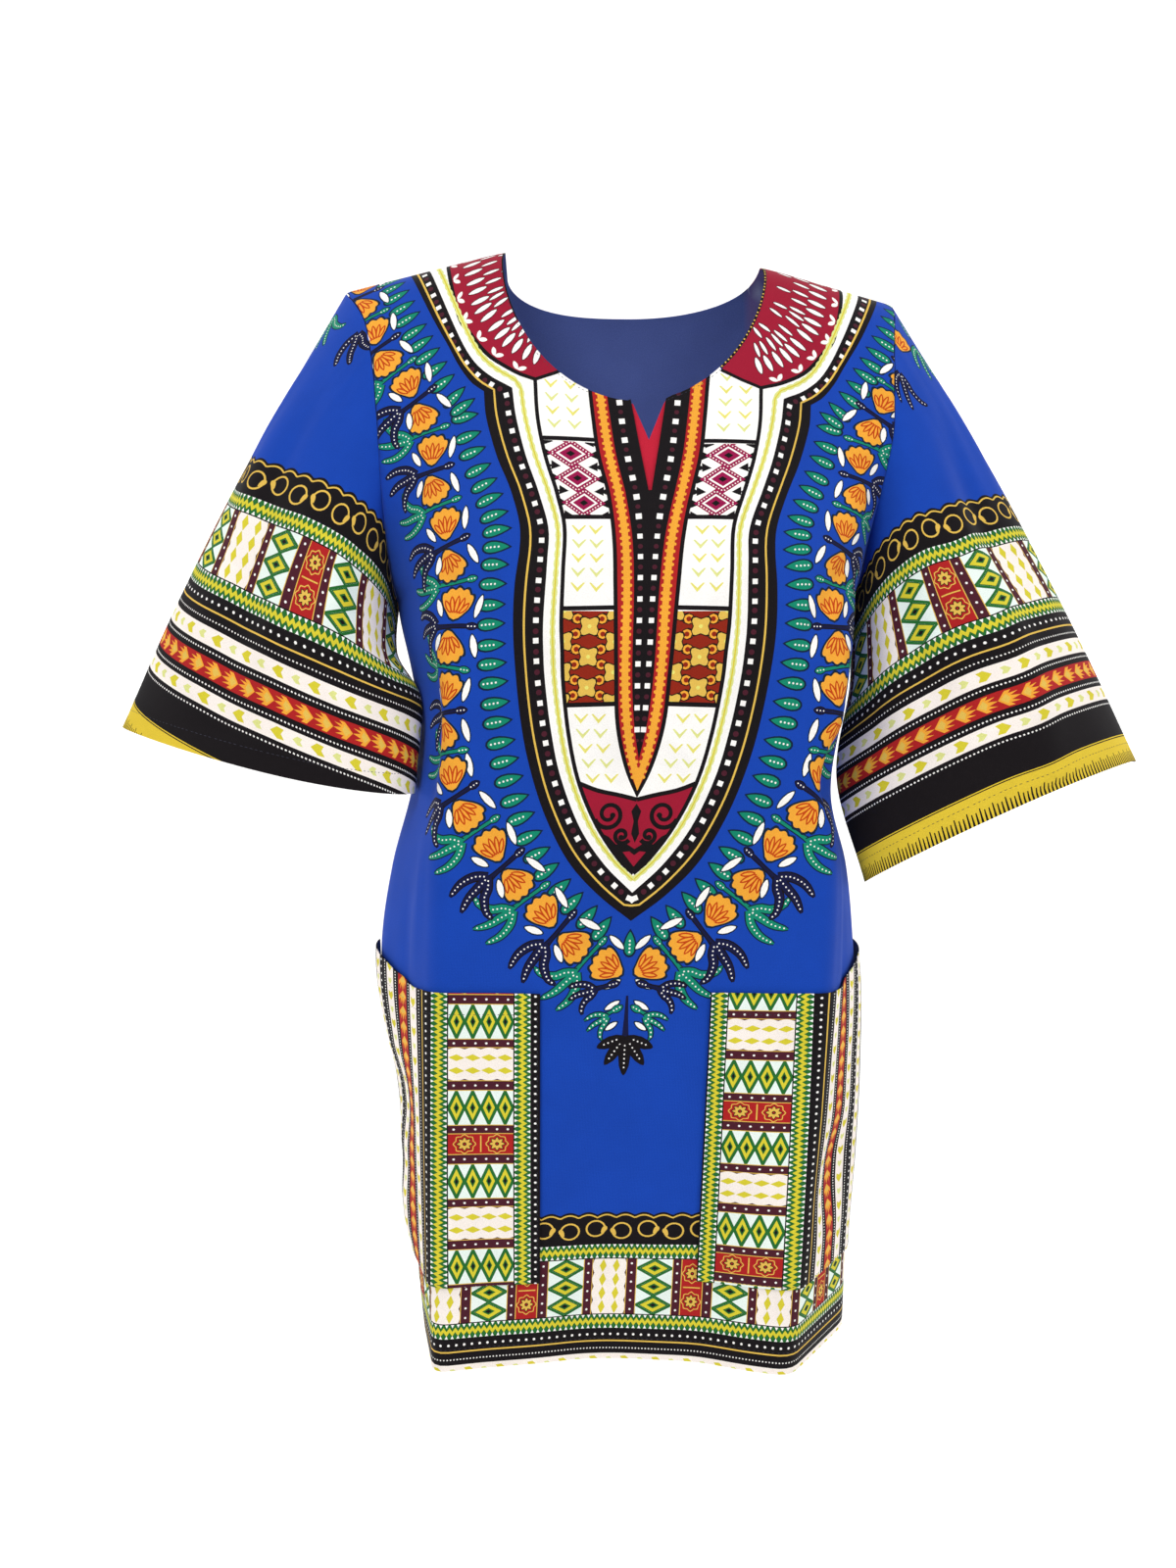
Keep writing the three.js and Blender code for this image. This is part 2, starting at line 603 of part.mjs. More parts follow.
// A ring through four points, whose outer and inner edges are sharper than its front and back.
function ringPoint({ outer, front: f, inner, back: b }, turn) {
  const points = [outer, f, inner, b].map((p) => new THREE.Vector3(...p));
  const centre = points[0].clone().add(points[2]).multiplyScalar(0.5);
  const quarter = Math.min(3, Math.floor(turn * 4));
  const [a, z] = [points[quarter], points[(quarter + 1) % 4]];
  const [handleA, handleZ] = quarter % 2 ? [0.5, CUFF_EDGE] : [CUFF_EDGE, 0.5];
  const curve = new THREE.CubicBezierCurve3(
    a,
    a.clone().addScaledVector(z.clone().sub(centre), handleA),
    z.clone().addScaledVector(a.clone().sub(centre), handleZ),
    z,
  );
  return curve.getPoint(turn * 4 - quarter);
}

function throughRings(rings, turn, at) {
  const rows = rings.map((r) => {
    const p = r.point(turn);
    return { at: r.at, x: p.x, y: p.y, z: p.z };
  });
  return new THREE.Vector3(...["x", "y", "z"].map((c) => lookUp(rows, "at", c, at)));
}

function sleeveWall(side, table, foldTable) {
  const folds = named(FOLD_COLUMNS, foldTable);
  const hole = armhole(side);
  const rings = [
    { at: 0, point: hole },
    ...named(SLEEVE_COLUMNS, table).map((r) => ({ at: r.at, point: (turn) => ringPoint(r, turn) })),
  ];
  const bareGrid = [];
  const count = 15;
  for (let i = 0; i <= count; i++) {
    const line = [];
    for (let j = 0; j < RING; j++) line.push(throughRings(rings, j / RING, i / count));
    bareGrid.push(line);
  }
  // Folds are placed by how far round the cloth they lie from the outer edge, and how far down from the seam.
  const grid = bareGrid.map((line, i) =>
    line.map((p, j) => {
      const round = line.reduce((sum, q, k) => sum + q.distanceTo(line[(k + 1) % RING]), 0);
      const turn = j / RING > 0.5 ? j / RING - 1 : j / RING;
      const across = -side * turn * round;
      const down = (i / count) * SLEEVE_FALL;
      const centre = line.reduce((sum, q) => sum.add(q), new THREE.Vector3()).divideScalar(RING);
      const out = p.clone().sub(centre).setZ(0).normalize();
      return p.clone().addScaledVector(out, foldHeight(folds, across, down));
    }),
  );
  return wall(grid, true);
}
sew("sleeve_left", sleeveWall(-1, LEFT_SLEEVE, SLEEVE_FOLDS.left), finish.cloth);
sew("sleeve_right", sleeveWall(1, RIGHT_SLEEVE, SLEEVE_FOLDS.right), finish.cloth);

export default dress;
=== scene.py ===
import math

import bpy
import numpy as np
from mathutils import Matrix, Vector
from mathutils.geometry import delaunay_2d_cdt


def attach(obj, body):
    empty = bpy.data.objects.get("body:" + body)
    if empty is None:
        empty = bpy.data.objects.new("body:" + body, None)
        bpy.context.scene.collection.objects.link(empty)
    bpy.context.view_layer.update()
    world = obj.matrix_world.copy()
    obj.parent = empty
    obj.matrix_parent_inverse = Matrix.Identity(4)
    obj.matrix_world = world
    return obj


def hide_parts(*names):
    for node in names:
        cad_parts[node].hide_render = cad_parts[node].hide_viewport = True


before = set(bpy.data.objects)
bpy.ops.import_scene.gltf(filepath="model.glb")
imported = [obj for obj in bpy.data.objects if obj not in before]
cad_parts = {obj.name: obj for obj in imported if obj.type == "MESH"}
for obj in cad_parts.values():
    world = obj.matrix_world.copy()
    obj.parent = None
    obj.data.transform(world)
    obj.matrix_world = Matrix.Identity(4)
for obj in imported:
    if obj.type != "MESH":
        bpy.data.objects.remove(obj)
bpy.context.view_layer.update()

# ---------------------------------------------------------------------------------------------------------
# FRONT BODY
# One panel of plain woven cotton about 0.3 mm thick, wax printed in blue round a white, red and black yoke, with a
# round neck, a short slit and open armholes. Two shoulder seams and two side seams hold it to the back, and its hem
# is turned up and machine stitched. Sizes are in millimetres: across from its middle line, and down from the ridge
# of the shoulders.
# ---------------------------------------------------------------------------------------------------------
LENGTH = 767
NECK_HALF_WIDTH, FRONT_NECK_DROP, BACK_NECK_DROP = 94, 122, 24
SLIT_X, SLIT_HALF_WIDTH, SLIT_FOOT = 8, 12, 188
SHOULDER_SLOPE = {"left": 0.26, "right": 0.3}  # drop for each millimetre outside the neck
SHOULDER_TILT = 11  # the left side of the neck rides this much higher
SHOULDER_LEVEL_BY = 240  # rows are level this far below the ridge
UNDERARM = 250
FRONT_LEAN = 0.0465  # the middle of the front drifts to the left by this share of its fall
BUST_LEFT, BUST_RIGHT = 72, 64.8  # bust points either side of the middle
HEM_RISE, HEM_RISE_FROM, HEM_RISE_HALF_WIDTH = 1.5, 640, 90  # the middle of the front hem is a little shorter
CLOTH = 0.8  # thickness shown, with the turned edges
SURFACE_ROWS, SURFACE_STEP, SURFACE_HALF_WIDTH = 382, 2, 260
FRONT_MIDDLE, FOLD_LEFT, FOLD_RIGHT = 4, 2, 6  # which corners of the front's plan line these are

FRONT_COLUMNS = "down edgeXL edgeYL foldXL foldYL bustYL midY bustYR foldXR foldYR edgeXR edgeYR"
FRONT_ROWS = (
    (0, -211, 0, -138, 0, 0, 0, 0, 138, 0, 190, 0),
    (8, -207, -12, -136, -16, -17, -17, -17, 138, -16, 189, -12),
    (20, -200, -24, -134, -30, -32, -32, -32, 139, -30, 187, -24),
    (40, -191, -36, -131, -43, -46, -46, -46, 142, -42, 184, -36),
    (75, -184, -48, -128, -57, -60, -58, -60, 150, -52, 181, -48),
    (125, -179, -55, -128, -70, -78, -73, -78, 159, -60, 179, -55),
    (170, -177, -53, -138, -80, -96, -87, -96, 157, -68, 172, -50),
    (210, -175, -40, -144, -90, -110, -102, -110, 153, -80, 165, -36),
    (238, -173, -22, -143, -98, -117, -111, -117, 148, -91, 161, -20),
    (250, -172, 0, -141, -100, -119, -113, -119, 146, -94, 158, 0),
    (300, -160, 0, -129, -110, -121, -118, -121, 139, -105, 151, 0),
    (345, -154, 0, -127, -112, -118, -117, -118, 132, -109, 144, 0),
    (387, -160, 0, -130, -109, -115, -114, -115, 124, -109, 140, 0),
    (440, -174, 0, -133, -107, -110, -110, -111, 128, -108, 152, 0),
    (505, -182, 0, -134, -106, -107, -106, -108, 125, -108, 158, 0),
    (570, -174, 0, -134, -106, -104, -102, -106, 118, -108, 161, 0),
    (640, -165, 0, -134, -106, -101, -96, -103, 110, -108, 158, 0),
    (700, -158, 0, -134, -106, -98, -90, -100, 104, -109, 153, 0),
    (767, -150, 0, -134, -105, -95, -83, -97, 98, -109, 150, 0),
)
# Soft folds: where the middle of each lies across the panel at its two ends, how far down it starts and stops, its
# half width, how far it stands out (or in), and the share of that which it still has where it stops.
FOLD_COLUMNS = "across_top across_foot top foot half_width out hold"
FRONT_FOLDS = (
    (-120, -62, 150, 330, 17, 4.5, 0),
    (118, 84, 170, 350, 16, 4, 0),
    (-34, -52, 300, 767, 30, 3, 0.6),
    (62, 58, 430, 767, 26, -4, 1),
    (142, 132, 340, 410, 16, -9, 0),
    (-150, -148, 280, 420, 15, -4, 0),
    (-196, -186, 560, 640, 26, -5, 0),
    (-190, -182, 640, 720, 22, 4, 0),
    (168, 160, 600, 690, 22, -5, 0),
)
# Small creases that only the cloth shows: drags from the underarms and the waist, and ripples down the sides.
FRONT_CREASES = (
    (-160, -96, 205, 300, 7, -1.6, 0),
    (-150, -84, 235, 345, 8, 1.3, 0),
    (150, 98, 215, 300, 7, -1.5, 0),
    (140, 86, 240, 350, 8, 1.2, 0),
    (-112, -90, 330, 470, 9, -1.2, 0),
    (104, 84, 350, 480, 9, -1.3, 0),
    (-20, -6, 470, 640, 14, -0.9, 0),
    (24, 34, 520, 700, 16, 0.9, 0),
    (-150, -156, 400, 520, 8, 1.4, 0),
    (-172, -166, 430, 560, 8, -1.5, 0),
    (150, 156, 400, 540, 9, 1.4, 0),
    (172, 168, 440, 560, 8, -1.4, 0),
    (-100, -96, 120, 230, 10, 1.0, 0),
    (96, 90, 130, 240, 10, -1.0, 0),
)


def named(columns, rows):
    return [dict(zip(columns.split(), row)) for row in rows]


def ease(t):
    t = np.clip(t, 0, 1)
    return t * t * (3 - 2 * t)


def joint_slope(p, q):
    """The slope where two stretches of a curve meet, small enough that it never overshoots."""
    least = np.minimum(np.abs(p), np.abs(q))
    return np.where(p * q > 0, np.copysign(3 * p * q, p) / np.maximum(np.abs(p + q) + least, 1e-12), 0.0)


def look_up(rows, key, name, at):
    """One smooth value from the rows of a table, by a cubic through them."""
    i = max(1, next((k for k, r in enumerate(rows) if r[key] > at), len(rows) - 1))
    a, b = rows[i - 1], rows[i]

    def rate(p, q):
        return (q[name] - p[name]) / (q[key] - p[key])

    here = rate(a, b)
    slope_a = joint_slope(rate(rows[i - 2], a), here) if i > 1 else here
    slope_b = joint_slope(here, rate(b, rows[i + 1])) if i < len(rows) - 1 else here
    span = b[key] - a[key]
    t = min(1.0, max(0.0, (at - a[key]) / span))
    from_a = (2 * t**3 - 3 * t**2 + 1) * a[name] + (t**3 - 2 * t**2 + t) * span * slope_a
    return from_a + (3 * t**2 - 2 * t**3) * b[name] + (t**3 - t**2) * span * slope_b


def rounded_line(corners):
    """A plan line through corners (x, y, rounding): its points, the length at each, and the length at each corner."""
    points, marks = [corners[0][:2]], [0]
    for before, (x, y, rounding), after in zip(corners, corners[1:], corners[2:]):
        at = np.array((x, y), float)
        ways = [np.array(c[:2], float) - at for c in (before, after)]
        reach = min([rounding] + [np.linalg.norm(w) * 0.5 for w in ways])
        start, end = (at + w / np.linalg.norm(w) * reach for w in ways)
        marks.append(len(points) + 4)
        points += [(1 - t) ** 2 * start + 2 * t * (1 - t) * at + t * t * end for t in np.linspace(0, 1, 9)]
    marks.append(len(points))
    points = np.array(points + [corners[-1][:2]], float)
    along = np.concatenate(([0], np.cumsum(np.linalg.norm(np.diff(points, axis=0), axis=1))))
    return points, along, along[marks]


def middle_x(down):
    return SLIT_X - FRONT_LEAN * max(0.0, down - SLIT_FOOT)


def ridge_height(x):
    """The ridge of the shoulders: level across the neck, sloping outside it, and a little higher on the left."""
    outside = np.abs(x) - NECK_HALF_WIDTH
    slope = np.where(x < 0, SHOULDER_SLOPE["left"], SHOULDER_SLOPE["right"])
    return -slope * (np.hypot(outside, 8) + outside) / 2 + SHOULDER_TILT * ease(-x / 90)


def side_turn(down):
    """How far the cloth turns round the side of the body before its seam: not at all along the armhole."""
    return 0.6 + 29.4 * ease((down - 225) / 70)


def front_line(down, rows=named(FRONT_COLUMNS, FRONT_ROWS)):
    """The front's plan line at a distance down, with a tight hanging crease on each side below the bust."""
    v = {name: look_up(rows, "down", name, down) for name in FRONT_COLUMNS.split()[1:]}
    side = side_turn(down)
    crease = 60 - 49 * ease((down - 190) / 110)
    mid = middle_x(down)
    return rounded_line([
        (v["edgeXL"], v["edgeYL"], 0), (v["edgeXL"], v["edgeYL"] - side, 40), (v["foldXL"], v["foldYL"], crease),
        (mid - BUST_LEFT, v["bustYL"], 60), (mid, v["midY"], 60), (mid + BUST_RIGHT, v["bustYR"], 60),
        (v["foldXR"], v["foldYR"], crease), (v["edgeXR"], v["edgeYR"] - side, 40), (v["edgeXR"], v["edgeYR"], 0),
    ])


def fold_height(folds, across, down):
    height = np.zeros(np.broadcast(across, down).shape)
    for f in folds:
        t = (down - f["top"]) / (f["foot"] - f["top"])
        centre = f["across_top"] + (f["across_foot"] - f["across_top"]) * t
        stands = ease(t / 0.45) * (f["hold"] + (1 - f["hold"]) * ease((1 - t) / 0.45))
        wave = f["out"] * stands * np.exp(-(((across - centre) / f["half_width"]) ** 2))
        height += np.where((t < 0) | (t > 1), 0, wave)
    return height


def grid_normals(grid, outward):
    n = np.cross(np.gradient(grid, axis=1), np.gradient(grid, axis=0)) * outward
    return n / np.maximum(np.linalg.norm(n, axis=2, keepdims=True), 1e-9)


def blend(grid, i, j, s, t):
    """Values between the points of a grid."""
    upper = grid[i, j] * (1 - s) + grid[i, j + 1] * s
    lower = grid[i + 1, j] * (1 - s) + grid[i + 1, j + 1] * s
    return upper * (1 - t) + lower * t


class BodySurface:
    """The middle layer of a body's cloth: a point for each distance across and down."""

    def __init__(self, line_at, middle_corner, folds, creases, hem_rise, outward):
        self.downs = np.linspace(0, LENGTH, SURFACE_ROWS)
        self.across = np.arange(-SURFACE_HALF_WIDTH, SURFACE_HALF_WIDTH + 0.1, SURFACE_STEP)
        grid, self.low, self.high = [], [], []
        for down in self.downs:
            points, along, corners = line_at(down)
            ends = [p + (p - q) / np.linalg.norm(p - q) * 120 for p, q in (points[:2], points[:-3:-1])]
            points = np.vstack((ends[0], points, ends[1]))
            along = np.concatenate(([-120], along, [along[-1] + 120])) - corners[middle_corner]
            x, y = (np.interp(self.across, along, points[:, k]) for k in (0, 1))
            level = ease(down / SHOULDER_LEVEL_BY)
            arch = hem_rise * ease((down - HEM_RISE_FROM) / (LENGTH - HEM_RISE_FROM))
            arch = arch * np.exp(-((self.across / HEM_RISE_HALF_WIDTH) ** 2))
            grid.append(np.stack((x, y, ridge_height(x) * (1 - level) - down + arch), 1))
            self.low.append(along[1])
            self.high.append(along[-2])
        bare = np.array(grid)
        across, down = np.meshgrid(self.across, self.downs)
        height = fold_height(named(FOLD_COLUMNS, folds + creases), across, down)
        self.grid = bare + grid_normals(bare, outward) * height[..., None]
        self.normal = grid_normals(self.grid, outward)

    def at(self, spots, lift=0.0):
        """Points and normals for spots (across, down)."""
        spots = np.asarray(spots, float).reshape(-1, 2)
        u = np.clip((spots[:, 0] - self.across[0]) / SURFACE_STEP, 0, len(self.across) - 1.001)
        v = np.clip(spots[:, 1] / LENGTH * (len(self.downs) - 1), 0, len(self.downs) - 1.001)
        i, j = v.astype(int), u.astype(int)
        place = (i, j, (u - j)[:, None], (v - i)[:, None])
        normal = blend(self.normal, *place)
        normal /= np.linalg.norm(normal, axis=1, keepdims=True)
        return blend(self.grid, *place) + normal * np.reshape(lift, (-1, 1)), normal

    def reach(self, down):
        """The panel's left and right edges at a distance down."""
        return np.interp(down, self.downs, self.low), np.interp(down, self.downs, self.high)

    def spot(self, x, z):
        """The spot (across, down) that is seen at x and z from the front."""
        across = np.array([np.interp(x, row[:, 0], self.across) for row in self.grid])
        height = np.array([np.interp(a, self.across, row[:, 2]) for a, row in zip(across, self.grid)])
        down = np.interp(-z, -height, self.downs)
        return float(np.interp(down, self.downs, across)), float(down)


front = BodySurface(front_line, FRONT_MIDDLE, FRONT_FOLDS, FRONT_CREASES, HEM_RISE, -1)

# The printer's inks.
INKS = {
    "blue": "#1042AB", "black": "#120D10", "navy": "#10143C", "white": "#FAF7F2", "blush": "#F9EFE6",
    "collar red": "#9C1530", "red": "#AE1F20", "orange": "#F0A636", "vein": "#C2400F", "leaf": "#0C8668",
    "leaf edge": "#0A2238", "gold": "#E2BA52", "yellow": "#D9CC34", "lime": "#DEE08C", "green": "#246A2E",
    "maroon": "#4A1A28", "magenta": "#981048", "hem yellow": "#E0C236", "pale yellow": "#E6DE70", "brown": "#8E2410",
    "mint": "#EAF6EE", "facing red": "#C01E36",
}


def ink_colour(code):
    """A screen colour such as #1C43C6 as linear red, green, blue and alpha."""
    values = [int(code[i : i + 2], 16) / 255 for i in (1, 3, 5)]
    return [v / 12.92 if v <= 0.04045 else ((v + 0.055) / 1.055) ** 2.4 for v in values] + [1.0]


def clipped(points, low, high):
    """The part of a shape that lies in a window."""
    for axis in (0, 1):
        for edge, way in ((low[axis], 1), (high[axis], -1)):
            kept = []
            for p, q in zip(points, np.roll(points, -1, axis=0)):
                a, b = ((p[axis] - edge) * way, (q[axis] - edge) * way)
                if a >= 0:
                    kept.append(p)
                if a * b < 0:
                    kept.append(p + (q - p) * a / (a - b))
            if len(kept) < 3:
                return np.empty((0, 2))
            points = np.array(kept)
    return points


class Print:
    """Shapes printed on a flat piece of cloth, in millimetres, each over the ones before it."""

    def __init__(self):
        self.shapes = []
        self.place = lambda points: points
        self.window = None

    def add(self, ink, points):
        """A closed shape. Its long edges are split, so that they follow the cloth."""
        points = np.asarray(points, float)
        if self.window:
            points = clipped(points, *self.window)
        if len(points) < 3:
            return
        split = []
        for p, q in zip(points, np.roll(points, -1, axis=0)):
            steps = max(1, math.ceil(np.linalg.norm(q - p) / 6))
            split += [p + (q - p) * k / steps for k in range(steps)]
        self.shapes.append((ink, np.asarray(self.place(np.array(split)), float)))

    def bar(self, ink, low, high):
        self.add(ink, [(low[0], low[1]), (high[0], low[1]), (high[0], high[1]), (low[0], high[1])])

    def dot(self, ink, at, radius, corners=6):
        turns = np.arange(corners) * math.tau / corners + 0.4
        self.add(ink, pairs(at[0] + radius * np.cos(turns), at[1] + radius * np.sin(turns)))

    def square(self, ink, at, half, angle=0.0):
        self.add(ink, placed(np.array(((-1, -1), (1, -1), (1, 1), (-1, 1))) * half, at, angle))

    def ribbon(self, ink, path, half_widths):
        """A strip along a path, as wide as half_widths says at each point of it."""
        path = np.asarray(path, float)
        half = np.broadcast_to(np.asarray(half_widths, float).reshape(-1, 1), (len(path), 1))
        way = np.gradient(path, axis=0)
        side = np.stack((-way[:, 1], way[:, 0]), 1) / np.maximum(np.linalg.norm(way, axis=1, keepdims=True), 1e-6)
        self.add(ink, np.vstack((path + side * half, (path - side * half)[::-1])))

    def between(self, ink, edge, other):
        self.add(ink, np.vstack((edge, other[::-1])))

    def mirror(self, first):
        """Prints the shapes from the first one on again, on the other side of the middle line."""
        self.shapes += [(ink, points[::-1] * (-1, 1)) for ink, points in self.shapes[first:]]


def pairs(across, down):
    return np.stack((across, down), 1)


def unit(angle):
    return np.array((math.cos(angle), math.sin(angle)))


def circle(corners):
    turns = np.linspace(0, math.tau, corners, endpoint=False)
    return pairs(np.cos(turns), np.sin(turns))


def placed(points, at, angle, size=1.0):
    """Points turned by angle, scaled and moved to at."""
    c, s = math.cos(angle) * size, math.sin(angle) * size
    return np.asarray(points, float) @ np.array(((c, s), (-s, c))) + at


def smooth(points, step):
    """Evenly spaced points on a smooth curve through points."""
    p = np.asarray(points, float)
    p = np.vstack((2 * p[0] - p[1], p, 2 * p[-1] - p[-2]))
    out = []
    for a, b, c, d in zip(p, p[1:], p[2:], p[3:]):
        for t in np.linspace(0, 1, 12, endpoint=False):
            bend, twist = 2 * a - 5 * b + 4 * c - d, 3 * b - a - 3 * c + d
            out.append(0.5 * (2 * b + (c - a) * t + bend * t**2 + twist * t**3))
    out = np.array(out + [p[-2]])
    return even(out, step)


def even(path, step):
    """The same path with points about one step apart."""
    path = np.asarray(path, float)
    along = np.concatenate(([0], np.cumsum(np.linalg.norm(np.diff(path, axis=0), axis=1))))
    marks = np.linspace(0, along[-1], max(2, round(along[-1] / step) + 1))
    return np.stack([np.interp(marks, along, path[:, k]) for k in (0, 1)], 1)


def stations(path, spacing, start=0.5):
    """Places along a path with the direction of the path at each."""
    path = even(path, 1.0)
    along = np.arange(start * spacing, len(path) - 1, spacing)
    for s in along:
        i = min(int(s), len(path) - 2)
        way = path[min(i + 3, len(path) - 1)] - path[max(i - 3, 0)]
        yield path[i], math.atan2(way[1], way[0])


def offset(path, distance):
    """A path beside another, on its left for a distance above 0."""
    way = np.gradient(np.asarray(path, float), axis=0)
    side = np.stack((-way[:, 1], way[:, 0]), 1) / np.linalg.norm(way, axis=1, keepdims=True)
    return path + side * distance


# The border that the dress is cut to use: bands in order from the cloth's middle to its edge, with widths in
# millimetres as they are on the sleeves, and the blocks that repeat along its widest band.
BANDS = {
    "rings": 28, "zigzag": 13.5, "blocks": 48, "zigzag 2": 13.5, "dots": 21, "petals": 12, "beads": 6.5, "arrows": 15,
    "beads 2": 6.5, "petals 2": 11, "beads 3": 7, "plain": 22, "fringe": 22, "dotted": 6,
}
BLOCKS = (
    ("shells", 27.5), ("strip", 9), ("diamonds", 29), ("strip", 8), ("roses", 17), ("strip", 9), ("diamonds", 29),
    ("strip", 8),
)
# Outlines of the border's small motifs, each about its own middle.
SHELL = np.array(((-2.9, 0), (-1, -3.4), (0.4, -6), (1.6, -3), (2.9, 0), (1.2, 3.2), (-0.3, 6), (-1.6, 3)))
PETAL = np.array(((-4, -3.4), (0.5, -3.9), (5, 0), (0.5, 3.9), (-4, 3.4), (-2, 0)))
ARROW = np.array((
    (-6, 0), (-1, -5.6), (2.6, -5.6), (0.6, -3.4), (6.4, -3.6), (1.6, -1.6), (7.4, 0), (1.6, 1.6), (6.4, 3.6),
    (0.6, 3.4), (2.6, 5.6), (-1, 5.6),
))
ARROW_HEART = np.array(((-4.6, 0), (-0.8, -3.6), (1.2, 0), (-0.8, 3.6)))
DIAMOND = np.array(((-1, 0), (0, -1), (1, 0), (0, 1)), float)
OVERRUN = 6  # how far each band runs on past both ends of its cloth


class Border:
    """Prints bands along a run of cloth from start to end. to_cloth turns (along, across) into the piece's own
    millimetres, along and across are the border's scale, and each block of diamonds holds count of them."""

    def __init__(self, sheet, to_cloth, start, end, along=1.0, across=1.0, count=3):
        self.sheet, self.start, self.end, self.count = sheet, start / along, end / along, count
        sheet.place = lambda points: to_cloth(points * (along, across))

    def draw(self, names, blocks_from):
        """Draws bands side by side. A run of blocks starts at blocks_from, and runs on both ways."""
        self.blocks_from = blocks_from
        at = 0.0
        for name in names:
            getattr(self, name.split()[0])(at, at + BANDS[name])
            at += BANDS[name]
        self.sheet.place = lambda points: points

    def steps(self, spacing, shift=0.0):
        first = math.floor((self.start - shift) / spacing)
        return [shift + k * spacing for k in range(first, math.ceil((self.end - shift) / spacing) + 1)]

    def ground(self, ink, low, high):
        self.sheet.bar(ink, (self.start - OVERRUN, low), (self.end + OVERRUN, high))

    def beads_row(self, at, spacing, radius, ink="white"):
        for s in self.steps(spacing):
            self.sheet.dot(ink, (s, at), radius, 4 if radius < 0.9 else 6)

    def rings(self, low, high):
        """Gold rings on black under a scalloped crest, each with a small drop that leans to its left or right."""
        run = np.arange(self.start - OVERRUN, self.end + OVERRUN, 1.6)
        crest = low + 3.2 - 2.6 * np.abs(np.sin(run * math.pi / 15.5))
        self.sheet.between("black", pairs(run, crest), pairs(run, run * 0 + high))
        self.sheet.ribbon("gold", pairs(run, crest + 2.5), 0.6)
        for k, s in enumerate(self.steps(21.5, 5)):
            way = (-1) ** k
            middle = np.array((s, low + 16 + way))
            for ink, r in (("gold", 8.0), ("black", 6.5)):
                self.sheet.add(ink, middle + circle(18) * (r * 1.06, r * 0.92))
            self.sheet.add("gold", placed(teardrop(7.2, 4.4), middle + (-4.5 * way, 3.8), -0.9 if k % 2 else -2.2))

    def zigzag(self, low, high):
        self.ground("green", low, high)
        middle, period = (low + high) / 2, 4.7
        wave = np.array([(s, middle + 1.7 * (-1) ** k) for k, s in enumerate(self.steps(period / 2))])
        self.sheet.between("yellow", wave - (0, 1.9), wave + (0, 1.9))
        for s in self.steps(period):
            for base, tip in ((low + 0.6, low + 3.6), (high - 0.6, high - 3.6)):
                self.sheet.add("white", [(s - 1.5, base), (s + 1.5, base), (s, tip)])
        for edge in (low, high - 0.9):
            self.ground("black", edge, edge + 0.9)

    def blocks(self, low, high):
        self.ground("maroon", low, high)
        run = sum(width for _, width in BLOCKS)
        s = self.blocks_from - run * math.ceil((self.blocks_from - self.start) / run)
        while s < self.end + OVERRUN:
            for kind, width in BLOCKS:
                if s + width > self.start - OVERRUN and s < self.end + OVERRUN:
                    getattr(self, kind)(s, s + width, low, high)
                s += width

    def strip(self, left, right, low, high):
        self.sheet.bar("gold", (left, low), (left + 0.7, high))
        self.sheet.bar("gold", (right - 0.7, low), (right, high))
        for k in range(6):
            self.sheet.dot("white", ((left + right) / 2, low + (high - low) * (k + 0.5) / 6), 1.0)

    def shells(self, left, right, low, high):
        t = np.linspace(0, 1, 25)
        bulge = 1.6 * np.abs(np.sin(t * math.pi * 4))
        across = low + t * (high - low)
        self.sheet.between("blush", pairs(left + 1.2 - bulge, across), pairs(right - 1.2 + bulge, across))
        for column in (0.3, 0.7):
            for k in range(4):
                self.sheet.add("yellow", SHELL + (left + (right - left) * column, low + (high - low) * (k + 0.5) / 4))

    def diamonds(self, left, right, low, high):
        """Yellow diamonds side by side over crossing green lines."""
        self.sheet.bar("mint", (left, low), (right, high))
        tall, wide = (high - low) / self.count, right - left
        was, self.sheet.window = self.sheet.window, ((left, low), (right, high))
        for k in range(-1, self.count):
            for way in (-1, 1):
                middle = np.array(((left + right) / 2, low + (k + 1) * tall))
                cross = np.array((-wide / 2, -way * tall / 2)) * 1.1
                self.sheet.ribbon("green", np.array((middle + cross, middle, middle - cross)), 0.95)
        for k in range(self.count):
            middle = np.array(((left + right) / 2, low + (k + 0.5) * tall))
            for ink, share in (("green", 0.86), ("yellow", 0.74), ("green", 0.36), ("black", 0.2)):
                self.sheet.add(ink, middle + np.array((wide, tall)) * share / 2 * DIAMOND)
        self.sheet.window = was

    def roses(self, left, right, low, high):
        self.sheet.bar("red", (left, low), (right, high))
        self.sheet.bar("gold", (left + 1.5, (low + high) / 2 - 0.5), (right - 1.5, (low + high) / 2 + 0.5))
        for share in (0.25, 0.75):
            middle = np.array(((left + right) / 2, low + (high - low) * share))
            turns = np.linspace(0, math.tau, 32, endpoint=False)
            for ink, size, wave in (("gold", 8.0, 0.1), ("red", 7.2, 0.1), ("black", 5.4, 0.22), ("gold", 4.5, 0.26)):
                r = size * (1 + wave * np.cos(turns * 8))
                self.sheet.add(ink, middle + pairs(r * np.cos(turns) * 0.98, r * np.sin(turns)))
            self.sheet.dot("black", middle, 1.6, 8)
            self.sheet.dot("red", middle, 0.8, 6)

    def dots(self, low, high):
        self.ground("black", low, high)
        self.beads_row(low + 4.5, 6.4, 1.15)
        self.ground("gold", low + 9.6, low + 10.9)
        self.beads_row(low + 16.5, 2.7, 0.75)

    def petals(self, low, high):
        self.ground("blush", low, high)
        middle = (low + high) / 2
        for k, s in enumerate(self.steps(13)):
            ink, size = ("yellow", 1.0) if k % 2 else ("lime", 0.72)
            self.sheet.add(ink, PETAL * size + (s, middle))

